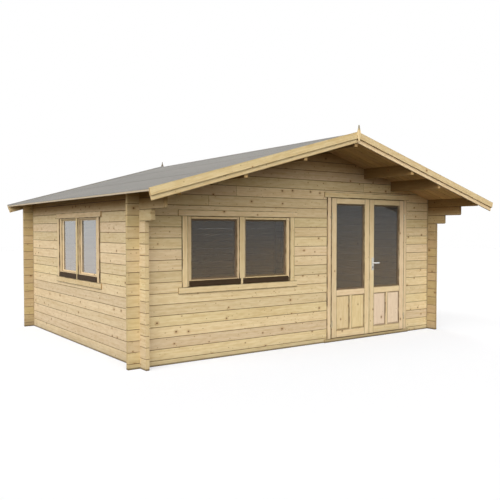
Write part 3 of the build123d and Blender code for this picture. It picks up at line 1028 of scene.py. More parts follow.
@dataclass(frozen=True)
class LogTimber(Timber):
    """Pine of the wall logs, with a tone for each course and dark joints.

    Butts are joints within a course, each a place along and a height; past is the tint of the ends outside
    the wall's stretch, weathering together with painted light and shade that differs from wall to wall.
    Painted shade darkens the corners where the next wall crosses.
    """

    end: Colour = (0.72, 0.55, 0.3)
    # Painted shade over the gable ends from these heights up, in this tint.
    shelter: Pair = (2.0, 2.45)
    deep: Colour = (0.54, 0.43, 0.29)
    stretch: Pair = (-PLAN.half_width, PLAN.half_width)
    past: Colour = (0.83, 0.8, 0.74)
    past_step: Pair = (0.0, -0.004)
    first: float = 0.0
    seed: float = 0.0
    butts: Pairs = ()
    butt_seed: float = 31.0
    butt_half: float = 0.0016
    # Painted shade in the corners where the next wall crosses.
    grime_step: Pair = (0.04, 0.0)
    grime_start: float = -0.001
    grime_share: float = 0.8

    def wire(self, paint: Paint) -> None:
        """Pine figure moved on for each log, with the joints between them.

        Args:
            paint: The material's graph.
        """
        cut = self.cut(paint)
        along, height, _ = paint.split(cut.place)
        seed: Any = self.seed
        lines: list[Socket] = []
        for spot, middle in self.butts:
            row = paint.math("COMPARE", height, middle, PLAN.log_rise / 2)
            past = paint.times(paint.math("GREATER_THAN", along, spot), row)
            seed = paint.ramp(past, self.butt_seed, seed)
            lines.append(paint.times(paint.math("COMPARE", along, spot, self.butt_half), row))
        courses = LogCourses.use(paint, {"Height": height, "First": self.first, "Seed": seed})
        low, high = self.stretch
        ends = paint.math("SUBTRACT", along, low), paint.math("SUBTRACT", high, along)
        inside = paint.math("MINIMUM", *ends)
        # Painted shade in the corner, laid on with the joints.
        within = paint.math("SUBTRACT", inside, PLAN.log_thickness)
        started = paint.math("GREATER_THAN", within, self.grime_start)
        corner_shade = paint.times(paint.smooth(within, *self.grime_step), started)
        cut.place = paint.vector("ADD", cut.place, courses["Shift"]).outputs[0]
        cut.tone = courses["Tone"]
        cut.joint = paint.most(*lines, courses["Joint"], paint.times(corner_shade, self.grime_share))
        # Ends' tint, weathering with painted light and shade, times the painted shade by height.
        weather_and_shade = paint.mix(paint.smooth(inside, *self.past_step), WHITE, self.past)
        cut.tint = paint.multiply(weather_and_shade, self.shade(paint))
        self.dress(paint, cut)


@dataclass(frozen=True)
class MineralFelt(Finish):
    """Grey roofing felt: mineral grains of two greys over faint clouds, darker at the cut edges."""

    light: Colour = (0.29, 0.29, 0.288)
    dark: Colour = (0.19, 0.19, 0.188)
    pale: Colour = (0.315, 0.31, 0.3)
    pale_cloud: Veil = Veil((1.6, 0.7, 1.6), 4.0, (0.3, 0.75), 0.35)
    cut_edge: Colour = (0.14, 0.14, 0.14)
    edge_share: float = 0.3
    grains: Triple = (420.0, 420.0, 420.0)
    roughness: Pair = (0.12, 0.82)
    specular: float = 0.25
    depth: float = 0.0008

    def wire(self, paint: Paint) -> None:
        """Feeds the shader from the grains, the clouds and the edge mask.

        Args:
            paint: The material's graph.
        """
        cells = {"Vector": paint.scaled(paint.place, self.grains), "Scale": 1.0}
        grit = paint.split(paint.add("ShaderNodeTexVoronoi", cells).outputs["Color"])[0]
        colour = paint.mix(paint.smooth(grit, 0.0, 1.0), self.dark, self.light)
        cloud = paint.veiled(paint.place, self.pale_cloud)
        colour = paint.cover(colour, cloud, self.pale_cloud.share, self.pale)
        colour = paint.cover(colour, paint.attribute("edge"), self.edge_share, self.cut_edge)
        rough = paint.ramp(grit, *self.roughness)
        paint.give({"Base Color": colour, "Roughness": rough, "Specular IOR Level": self.specular})
        paint.relief(grit, self.depth)


@dataclass(frozen=True)
class Metal(Finish):
    """Satin or plated metal with fine brushing and dull patches."""

    bright: Colour = (0.8, 0.79, 0.76)
    dull: Colour = (0.55, 0.54, 0.51)
    roughness: float = 0.28
    brush_scale: Triple = (900.0, 900.0, 40.0)
    brush_share: float = 0.14
    patch: Veil = Veil((60.0, 60.0, 25.0), 4.0, (0.4, 0.75), 0.12)
    depth: float = 0.00008

    def wire(self, paint: Paint) -> None:
        """Brushing along the height, dull patches and a slight relief.

        Args:
            paint: The material's graph.
        """
        brush = paint.noise(paint.place, self.brush_scale)
        patch = paint.veiled(paint.place, self.patch)
        rough = paint.ramp(brush, self.brush_share, self.roughness)
        rough = paint.ramp(patch, self.patch.share, rough)
        colour = paint.mix(patch, self.bright, self.dull)
        paint.give({"Base Color": colour, "Roughness": rough, "Metallic": 1.0})
        paint.relief(brush, self.depth)


@dataclass(frozen=True)
class Pane(Finish):
    """Glass, browner low down by painted reflection, with dust smears; index sets how strongly it mirrors."""

    # Tints low down and high up, and the heights between: painted reflection and shade of the surroundings.
    foot: Colour = (0.53, 0.43, 0.29)
    crown: Colour = (0.38, 0.375, 0.355)
    span: Pair = (0.9, 1.6)
    index: float = 1.38
    clear: float = 0.9
    smear: Veil = Veil((2.2, 2.2, 3.5), 4.0, (0.5, 0.9), 0.05)
    smear_rise: Pair = (0.3, -0.15)
    wave_scale: Triple = (1.5, 1.5, 1.1)
    depth: float = 0.0001

    def wire(self, paint: Paint) -> None:
        """Glass whose tint changes with height, its roughness broken by smears.

        Args:
            paint: The material's graph.
        """
        height = paint.split(paint.place)[2]
        smear = paint.noise(paint.place, self.smear.scale, self.smear.detail)
        level = paint.math("ADD", paint.ramp(smear, *self.smear_rise), height)
        # Painted reflection: browner low down, greyer high up.
        tint = paint.mix(paint.smooth(level, *self.span), self.foot, self.crown)
        rough = paint.times(paint.smooth(smear, *self.smear.step), self.smear.share)
        paint.give({"Base Color": tint, "Roughness": rough})
        paint.give({"Transmission Weight": self.clear, "IOR": self.index})
        paint.relief(paint.noise(paint.place, self.wave_scale, 1.0), self.depth)


# The side walls' stretch along Y, the heights between which painted shade from their eaves comes in, and
# the joints within courses of the front wall, each a place along X and the middle of its course.
DEPTH = (PLAN.front_face, PLAN.back_face)
EAVES = (1.64, 1.79)
BUTTS = ((-1.511, 1.8), (-1.128, 1.92), (0.963, 2.04))
HALF_LOG = PLAN.log_rise / 2
# Per wall, the past tints are weathering together with painted light and shade on the log ends.
FRONT_LOGS = LogTimber(
    "front_log_pine", grain=Axis.RIGHT, first=HALF_LOG, seed=3.0, butts=BUTTS, past=(0.8, 0.79, 0.74)
)
BACK_LOGS = LogTimber(
    "back_log_pine", grain=Axis.RIGHT, first=HALF_LOG, seed=61.0, past=(0.71, 0.69, 0.62)
)
LEFT_LOGS = LogTimber(
    "left_log_pine", (0.76, 0.64, 0.42), (0.6, 0.455, 0.25), grain=Axis.INWARD, seed=120.0, stretch=DEPTH,
    shelter=EAVES, past=(0.91, 0.91, 0.87), deep=(0.5, 0.4, 0.25),
)
# Right wall: its dark end colour is painted shade on the log ends.
RIGHT_LOGS = LogTimber(
    "right_log_pine", grain=Axis.INWARD, seed=187.0, stretch=DEPTH, shelter=EAVES, end=(0.4, 0.27, 0.12),
    past=(0.78, 0.75, 0.69),
)
# Beams: pine darkened as painted shade under the roof.
BEAM_PINE = Timber("beam_pine", (0.295, 0.195, 0.078), (0.22, 0.128, 0.045), grain=Axis.INWARD, knots=0.15)
BEARER_PINE = Timber("bearer_pine", (0.5, 0.44, 0.25), (0.36, 0.3, 0.15), grain=Axis.RIGHT)
# Cover boards: near-black painted shade on their sides and edges.
COVER_PINE = Timber(
    "cover_board_pine", (0.78, 0.64, 0.4), (0.62, 0.46, 0.24), worn=(0.05, 0.03, 0.012), knots=0.14, wear=1.0
)
JOINERY_PINE = Timber("joinery_pine", (0.74, 0.6, 0.37), (0.6, 0.44, 0.225), knots=0.14)
PALE_PINE = Timber("pale_joinery_pine", (0.78, 0.64, 0.41), (0.64, 0.48, 0.26), knots=0.08, wear=0.6)
DOOR_PINE = Timber("door_leaf_pine", (0.785, 0.645, 0.41), (0.65, 0.49, 0.265), knots=0.14)
# Dark brown for the panels' grooves: painted shade.
GROOVE_SHADE = (0.17, 0.1, 0.04)
PANEL_PINE = Timber("panel_pine", (0.76, 0.62, 0.38), (0.62, 0.46, 0.235), end=GROOVE_SHADE, knots=0.14)
ROSY_PINE = Timber("rosy_panel_pine", (0.8, 0.665, 0.475), (0.69, 0.54, 0.365), end=GROOVE_SHADE, knots=0.1)
FRAME_PINE = Timber("frame_pine", knots=0.12)
GABLE_PINE = Timber("gable_board_pine", (0.77, 0.63, 0.39), (0.6, 0.44, 0.22), knots=0.25, wear=0.5)
# Pointed boards: grey-blue painted shade over the tip, from 2.6 m up.
POINT_PINE = Timber(
    "pointed_board_pine", GABLE_PINE.light, GABLE_PINE.dark, knots=0.0, wear=0.5, shelter=(2.6, 2.65),
    deep=(0.4, 0.44, 0.5),
)
# Dark grey pine, for the back pointed board.
GREY_PINE = Timber("weathered_pine", (0.27, 0.26, 0.23), (0.17, 0.16, 0.14), knots=0.05)
BOARD_END = (0.95, 0.88, 0.72)
# Roof boards: the left a darker copy of the pine as painted shade, the right with painted shade up high.
LEFT_SOFFIT = Timber(
    "left_roof_board_pine", (0.52, 0.36, 0.17), (0.4, 0.25, 0.095), end=BOARD_END, knots=0.22, wear=0.35
)
RIGHT_SOFFIT = Timber(
    "right_roof_board_pine", (0.865, 0.625, 0.322), (0.67, 0.45, 0.195), end=BOARD_END, knots=0.22, wear=0.35,
    shelter=(1.98, 2.28), deep=(0.65, 0.62, 0.55),
)
FLOOR_PINE = Timber("floor_board_pine", (0.7, 0.55, 0.32), (0.54, 0.38, 0.18), knots=0.2)
SILL_WOOD = Timber("threshold_wood", (0.62, 0.5, 0.3), (0.45, 0.33, 0.17), knots=0.05)
DARK_STAIN = Timber(
    "dark_stained_pine", (0.05, 0.03, 0.014), (0.028, 0.016, 0.008), knot=(0.02, 0.012, 0.008),
    end=(0.03, 0.018, 0.01), worn=(0.1, 0.06, 0.03), knots=0.0,
)
# Beads of the front window and the door: dark pine as painted shade in the rebates round the panes.
BEAD_SHADE = Timber(
    "bead_stained_pine", (0.17, 0.125, 0.075), (0.115, 0.082, 0.048), knot=(0.05, 0.03, 0.015),
    end=(0.12, 0.075, 0.04), knots=0.0,
)
FELT = MineralFelt("mineral_felt")
ZINC = Metal("zinc_plate", (0.46, 0.4, 0.28), (0.32, 0.27, 0.18), 0.46)
SATIN = Metal("satin_steel", (0.9, 0.89, 0.87), (0.74, 0.73, 0.71), 0.24)
PLATE = Metal("plate_steel", (0.62, 0.6, 0.55), (0.46, 0.44, 0.4), 0.34)
NAIL = Metal("nail_steel", (0.45, 0.44, 0.42), (0.28, 0.26, 0.24), 0.45)
# Keyhole: near black, painted shade standing for the hole.
KEYHOLE_SHADE = Metal("keyway_steel", (0.1, 0.1, 0.1), (0.05, 0.05, 0.05), 0.5)
# The panes' tints are painted reflection and shade, set for each opening.
FRONT_PANE = Pane("front_window_pane")
LEFT_PANE = Pane("left_window_pane", (0.62, 0.52, 0.42), (0.5, 0.52, 0.52), index=3.2, clear=0.8)
DOOR_PANE = Pane("door_pane", span=(0.8, 1.75))


def repaint(frame: Frame, finish: Finish, *nodes: str) -> None:
    """Gives carried-over nodes of the frame a finish.

    Args:
        frame: The loaded frame.
        finish: The finish.
        *nodes: Names of the nodes.
    """
    for node in nodes:
        mesh = frame["nodes"][node].data
        mesh.materials.clear()
        mesh.materials.append(finish.material())
        LOG.info("%s: carried over in %s", node, finish.name)


NAIL_DOME = dome(0.0032, 0.0011)
NAIL_SEGMENTS = 8


def show_nails(name: str, spots: Array, axis: Triple, slot: str) -> None:
    """Shows nail heads at spots on a face of the cabin, along the axis that points out of it."""
    Piece(name, turned(NAIL_DOME, spots, axis, NAIL_SEGMENTS), NAIL, slot, smooth=True).show()


@dataclass
class LogWalls:
    """The four log walls, which the frame already has in full: its nodes named for a side's wall or gable."""

    front: LogTimber = FRONT_LOGS
    left: LogTimber = LEFT_LOGS
    back: LogTimber = BACK_LOGS
    right: LogTimber = RIGHT_LOGS

    def dress(self, frame: Frame) -> None:
        """Gives each wall's logs their finish.

        Args:
            frame: The loaded frame.
        """
        for node in frame["nodes"]:
            side, _, rest = node.partition("_")
            if rest.startswith("wall") or rest == "gable":
                repaint(frame, getattr(self, side), node)


@dataclass(frozen=True)
class RoofPlan:
    """Sizes that the slopes and the gable ends share."""

    slope: float = math.radians(15.7)
    ridge: float = 2.5677
    front: float = -2.386
    back: float = 2.386
    run: float = 2.76
    board_thickness: float = 0.019
    barge_thickness: float = 0.018
    barge_top: float = 0.033
    ease: float = 0.003

    @property
    def mitre(self) -> float:
        """How far a plumb cut at the ridge moves a run back, for each metre square to the slope."""
        return math.tan(self.slope)

    def seat(self, side: Side) -> Seat:
        """A seat at the ridge under one slope: right runs down the slope and up is square to it.

        Args:
            side: Which slope.

        Returns:
            The seat.
        """
        out, up = side * math.sin(self.slope), math.cos(self.slope)
        right, inward = (side * up, 0.0, -side * out), (0.0, float(side), 0.0)
        return Seat((0.0, 0.0, self.ridge), right, inward, (out, 0.0, up))

    @staticmethod
    def stretch(side: Side, near: float, far: float) -> Pair:
        """A stretch from near to far along Y, in the inward coordinate of a slope's seat."""
        return (near, far) if side is Side.RIGHT else (-far, -near)


ROOF = RoofPlan()


@dataclass
class RoofSlope:
    """Tongued boards, lapped felt and felt nails of one slope."""

    side: Side
    timber: Timber
    seed: int = 11
    board_pitch: float = 0.0954
    sheet: float = 0.0019
    strips: int = 3
    lap: float = 0.08
    lap_lift: float = 0.002
    lap_bend: Pair = (0.13, 0.06)
    lap_rows: tuple[float, ...] = (0.12, 0.105, 0.09, 0.075, 0.06, 0.01, 0.0)
    flat_rows: int = 10
    flat_end: float = 0.14
    columns: int = 61
    bed: float = 0.00012
    wave: float = 0.00006
    wave_rates: tuple[Triple, ...] = ((7.1, 2.3, 1.0), (3.3, -5.1, 2.0))
    clearance: float = 0.0003
    cap_reach: float = 0.15
    cap_rows: int = 6
    cap_sheet: float = 0.0015
    cap_lift: float = 0.0014
    cap_wave: float = 0.00005
    cap_rates: Pair = (5.7, 9.0)
    verge_rows: int = 24
    verge_wave: float = 0.00004
    verge_rate: float = 9.0
    nail_dome: Pair = (0.0045, 0.0012)
    nail_segments: int = 7
    nail_pitch: float = 0.11
    nail_ends: Pair = (0.06, 0.05)
    nail_inset: float = 0.02
    eaves_inset: float = 0.03

    @property
    def seat(self) -> Seat:
        """The slope's seat."""
        return ROOF.seat(self.side)

    def boards(self) -> None:
        """Tongued boards that run down the slope, with a groove at each joint."""
        count = round((ROOF.back - ROOF.front) / self.board_pitch)
        edges = np.linspace(ROOF.front, ROOF.back, count + 1)
        boards = []
        for near, far in zip(edges[:-1], edges[1:]):
            start, end = ROOF.stretch(self.side, near, far)
            low, high = (PLAN.gap, start, 0.0), (ROOF.run, end, ROOF.board_thickness)
            boards.append(Board(low, high, -ROOF.mitre))
        solid = EasedBoards.build(boards, self.seat, ROOF.ease, self.seed + self.side, Axis.UP)
        name, node = f"{self.side.word}_tongued_roof_boards", f"{self.side.word}_roof_boards"
        Piece(name, solid, self.timber, "roof_boards", node=node).show()

    def grid(self, runs: Array) -> Sequence[Array]:
        """The run and the way of each point of a grid: the runs, by ways along the whole slope."""
        ways = np.linspace(*ROOF.stretch(self.side, ROOF.front, ROOF.back), self.columns)
        return np.meshgrid(runs, ways, indexing="ij")

    def closed_sheet(self, run: Array, way: Array, base: Array, thickness: float) -> Solid:
        """A sheet on the slope from the rise of its lower face, with faces round its four sides.

        Its upper face lies one thickness higher. A row at the ridge moves back by the mitre times its rise.

        Args:
            run: Run down the slope of each point of the grid, (m, n).
            way: Way along the slope.
            base: Rise of the lower face.
            thickness: How thick the sheet is.

        Returns:
            The sheet, with the edge mask on its last row.
        """
        back = ROOF.mitre * (run == 0)
        layers = [np.stack([run - back * rise, way, rise], axis=-1) for rise in (base, base + thickness)]
        index = np.arange(2 * run.size).reshape(2, *run.shape)
        quads = [
            np.stack([side[:-1, :-1], side[1:, :-1], side[1:, 1:], side[:-1, 1:]], axis=-1).reshape(-1, 4)
            for side in (index[0, :, ::-1], index[1])
        ]
        lower, upper = (
            np.concatenate([side[:, 0], side[-1, 1:], side[-2::-1, -1], side[0, -2:0:-1]]) for side in index
        )
        quads.append(np.stack([lower, np.roll(lower, -1), np.roll(upper, -1), upper], axis=-1))
        solid = Solid.plain(self.seat.place(np.stack(layers).reshape(-1, 3)), quads)
        edge = np.zeros(run.shape)
        edge[-1] = 1.0
        solid.edge = np.tile(edge.ravel(), 2)
        return solid

    def strip(self, low: float, high: float, lifted: float, step: int) -> Solid:
        """One strip of felt, a function of the run down the slope and the way along it.

        Its lower face lies at the boards plus a lift, which comes in over the lap by a soft step, plus two
        slow sines for the waves of a laid sheet.

        Args:
            low: Run at its upper edge.
            high: Run at its lower edge.
            lifted: Lift at the lower edge, where it lies on the next strip.
            step: Number of the strip, which moves the waves on.

        Returns:
            The strip, closed.
        """
        flat = np.linspace(low, high - self.flat_end, self.flat_rows)
        run, way = self.grid(np.append(flat, high - np.array(self.lap_rows)))
        bend_start, bend = self.lap_bend
        share = np.clip((run - (high - bend_start)) / bend, 0, 1)
        lift = lifted * share**2 * (3 - 2 * share)
        sines = sum(np.sin(way * along + run * down + step * on) for along, down, on in self.wave_rates)
        base = ROOF.board_thickness + lift + self.wave * sines + self.bed
        return self.closed_sheet(run, way, base, self.sheet)

    def ridge_strip(self) -> Solid:
        """Half of the strip over the ridge, on the top strip: straight down the slope from a plumb edge.

        Returns:
            The half strip, closed.
        """
        run, way = self.grid(np.linspace(0.0, self.cap_reach, self.cap_rows))
        along, down = self.cap_rates
        wave = self.cap_wave * np.sin(way * along + run * down)
        base = ROOF.board_thickness + self.sheet + self.clearance + wave
        return self.closed_sheet(run, way, base, self.cap_sheet)

    def felt(self) -> None:
        """Felt in strips along the slope, each lapped over the one below, with half of the ridge strip."""
        edges = np.linspace(0.0, ROOF.run, self.strips + 1)
        solids = []
        for step in range(self.strips):
            last = step == self.strips - 1
            lap, lift = (0.0, 0.0) if last else (self.lap, self.lap_lift)
            solids.append(self.strip(edges[step], edges[step + 1] + lap, lift, step))
        solids.append(self.ridge_strip())
        name, node = f"{self.side.word}_lapped_felt", f"{self.side.word}_roof_felt"
        Piece(name, Solid.joined(solids), FELT, "roof_felt", node=node).show()

    def felt_nails(self) -> None:
        """Broad nail heads in rows above each lap, along the eaves and along the ridge strip."""
        laps = np.linspace(0.0, ROOF.run, self.strips + 1)[1:-1] + self.lap - self.nail_inset
        rows = np.append(laps, [ROOF.run - self.eaves_inset, self.cap_reach - self.nail_inset])
        lifts = np.append(np.full(len(laps), self.lap_lift), [0.0, self.cap_lift])
        first, last = self.nail_ends
        ways = np.arange(ROOF.front + first, ROOF.back - last, self.nail_pitch)
        run, way = np.meshgrid(rows, ways, indexing="ij")
        rise = ROOF.board_thickness + self.sheet + lifts[:, None] * np.ones(len(ways)) + self.clearance
        spots = np.stack([run, way * self.side, rise], axis=-1).reshape(-1, 3)
        solid = turned(dome(*self.nail_dome), self.seat.place(spots), self.seat.up, self.nail_segments)
        Piece(f"{self.side.word}_felt_nails", solid, ZINC, "roof_felt", smooth=True).show()

    def verge_felt(self) -> None:
        """Felt turned up and over the back gable board: an angle of two legs carried down the slope.

        The angle's points are (way, rise): up the board's inner face from the felt, over its top edge, and
        back one sheet lower. A station at the ridge moves back by the mitre times the rise.
        """
        top, sheet = ROOF.barge_top, self.sheet
        foot = ROOF.board_thickness + 2 * sheet
        inner, outer = ROOF.back - sheet - self.clearance, ROOF.back + ROOF.barge_thickness
        near, over = inner + sheet, top + sheet
        outside = [(inner, foot), (inner, over), (outer, over)]
        angle = np.array(outside + [(outer, top), (near, top), (near, foot)])
        runs = np.linspace(0.0, ROOF.run, self.verge_rows)[:, None]
        run = runs - ROOF.mitre * (runs == 0) * angle[:, 1]
        way = np.broadcast_to(angle[:, 0] * self.side, run.shape)
        rise = angle[:, 1] + self.verge_wave * np.sin(runs * self.verge_rate)
        points = self.seat.place(np.stack([run, way, rise], axis=-1).reshape(-1, 3))
        solid = Solid.plain(points, tube_faces(1, len(runs), len(angle)))
        Piece(f"{self.side.word}_verge_felt", solid, FELT, "roof_felt").show()

    def build(self) -> None:
        """Makes the slope's pieces."""
        self.boards()
        self.felt()
        self.felt_nails()
        self.verge_felt()


@dataclass
class GableEnd:
    """Upper and lower gable boards of one end, mitred plumb at the peak, with the pointed board over them."""

    name: str
    edge: float
    outward: int
    seed: int
    point_timber: Timber
    upper_height: float = 0.075
    lower_drop: float = 0.089
    past_eaves: float = 0.004
    nail_rows: int = 7
    nail_ends: Pair = (0.1, 0.06)
    nail_inset: float = 0.018
    point_seed: int = 30
    point_half: float = 0.025
    point_height: float = 0.075
    point_shares: Pairs = (
        (0.07, 1.0), (0.22, 0.6), (0.52, 0.3), (0.84, 0.0), (0.84, -0.512), (0.52, -1.06), (0.18, -1.6),
    )
    point_depths: Pairs = ((0.0, 1.0), (0.75, 1.0), (1.0, 0.93))

    @property
    def face(self) -> float:
        """Outer face of the upper boards along Y."""
        return self.edge + self.outward * ROOF.barge_thickness

    def boards(self, tier: Tier) -> None:
        """The gable boards of one tier, one on each slope.

        Args:
            tier: Which boards.
        """
        if tier is Tier.UPPER:
            foot, top, reach = ROOF.barge_top - self.upper_height, ROOF.barge_top, 1
        else:
            foot, top, reach = -self.lower_drop, 0.0, -1
        faces = sorted((self.edge, self.edge + reach * self.outward * ROOF.barge_thickness))
        solids = []
        for side in Side:
            start, stop = ROOF.stretch(side, *faces)
            low, high = (PLAN.gap, start, foot), (ROOF.run + self.past_eaves, stop, top)
            board = Board(low, high, -ROOF.mitre)
            seed = self.seed + tier + 2 * side
            solids.append(EasedBoards.build([board], ROOF.seat(side), ROOF.ease, seed))
        stem = f"{self.name}_{tier.name.lower()}"
        name, node = f"{stem}_gable_boards", f"{stem}_bargeboards"
        Piece(name, Solid.joined(solids), GABLE_PINE, "gable_boards", node=node).show()

    def nails(self) -> None:
        """Pairs of nail heads down the upper boards."""
        first, last = self.nail_ends
        runs = np.linspace(first, ROOF.run - last, self.nail_rows)
        low, high = ROOF.barge_top - self.upper_height + self.nail_inset, ROOF.barge_top - self.nail_inset
        spots = [ROOF.seat(side).place(spot_grid(runs, self.face * side, [high, low])) for side in Side]
        out = (0.0, float(self.outward), 0.0)
        show_nails(f"{self.name}_gable_board_nails", np.concatenate(spots), out, "gable_boards")

    def pointed_board(self) -> None:
        """The pointed board over the peak: half an outline of seven points, mirrored, its face drawn in."""
        peak = ROOF.ridge + ROOF.barge_top / math.cos(ROOF.slope)
        half = np.array(self.point_shares) * (self.point_half, self.point_height) + (0.0, peak)
        outline = np.concatenate([half, half[::-1] * (-1.0, 1.0)])
        stations = np.array(self.point_depths) * (ROOF.barge_thickness * self.outward, 1.0)
        seat = Seat((0.0, self.face, 0.0))
        solid = carried_outline(outline, stations, seat, self.seed + self.point_seed)
        name, node = f"{self.name}_pointed_board", f"{self.name}_finial"
        Piece(name, solid, self.point_timber, "gable_boards", node=node).show()

    def build(self) -> None:
        """Makes the end's pieces."""
        self.boards(Tier.UPPER)
        self.boards(Tier.LOWER)
        self.nails()
        self.pointed_board()


@dataclass
class Roof:
    """Beams, two slopes and two gable ends."""

    beams: tuple[str, ...] = ("ridge_purlin", "left_purlins", "right_purlins")
    slopes: tuple[RoofSlope, ...] = (RoofSlope(Side.LEFT, LEFT_SOFFIT), RoofSlope(Side.RIGHT, RIGHT_SOFFIT))
    ends: tuple[GableEnd, ...] = (
        GableEnd("front", ROOF.front, -1, 45, POINT_PINE),
        GableEnd("back", ROOF.back, 1, 44, GREY_PINE),
    )

    def build(self, frame: Frame) -> None:
        """Makes the roof's pieces and gives the beams their finish.

        Args:
            frame: The loaded frame.
        """
        repaint(frame, BEAM_PINE, *self.beams)
        for part in self.slopes + self.ends:
            part.build()


def cover_boards(width: float, rise: Pair, faces: Pair, over: float, side: float) -> list[Board]:
    """Two side boards under a top board, round an opening in a seat.

    Args:
        width: Width of the opening.
        rise: Its lower and upper edges.
        faces: Outer and inner faces of the boards.
        over: How far the top board reaches past the side boards.
        side: Width of the side boards.

    Returns:
        The boards.
    """
    (sill, head), (near, far), half = rise, faces, width / 2
    reach = half + side + over
    low, high = sill + PLAN.gap, head - PLAN.gap
    return [
        Board((-reach, near, head), (reach, far, head + PLAN.trim_width)),
        Board((-half - side, near, low), (-half, far, high)),
        Board((half, near, low), (half + side, far, high)),
    ]


# Outer and inner faces of the cover boards on the two sides of a wall, and the overhang of their top boards.
COVER_LAYERS = (
    ((-PLAN.trim_thickness, 0.0), PLAN.trim_overhang),
    ((PLAN.log_thickness, PLAN.log_thickness + PLAN.trim_thickness), 0.0),
)
# Section of the bead round a pane: inset from the opening's edge, and depth behind the face of the timber.
LEDGE = np.array(
    [
        (0.0, 0.022), (0.01, 0.022), (0.0135, 0.0225), (0.0165, 0.0242),
        (0.018, 0.0268), (0.018, 0.0455), (0.0, 0.0455),
    ]
)


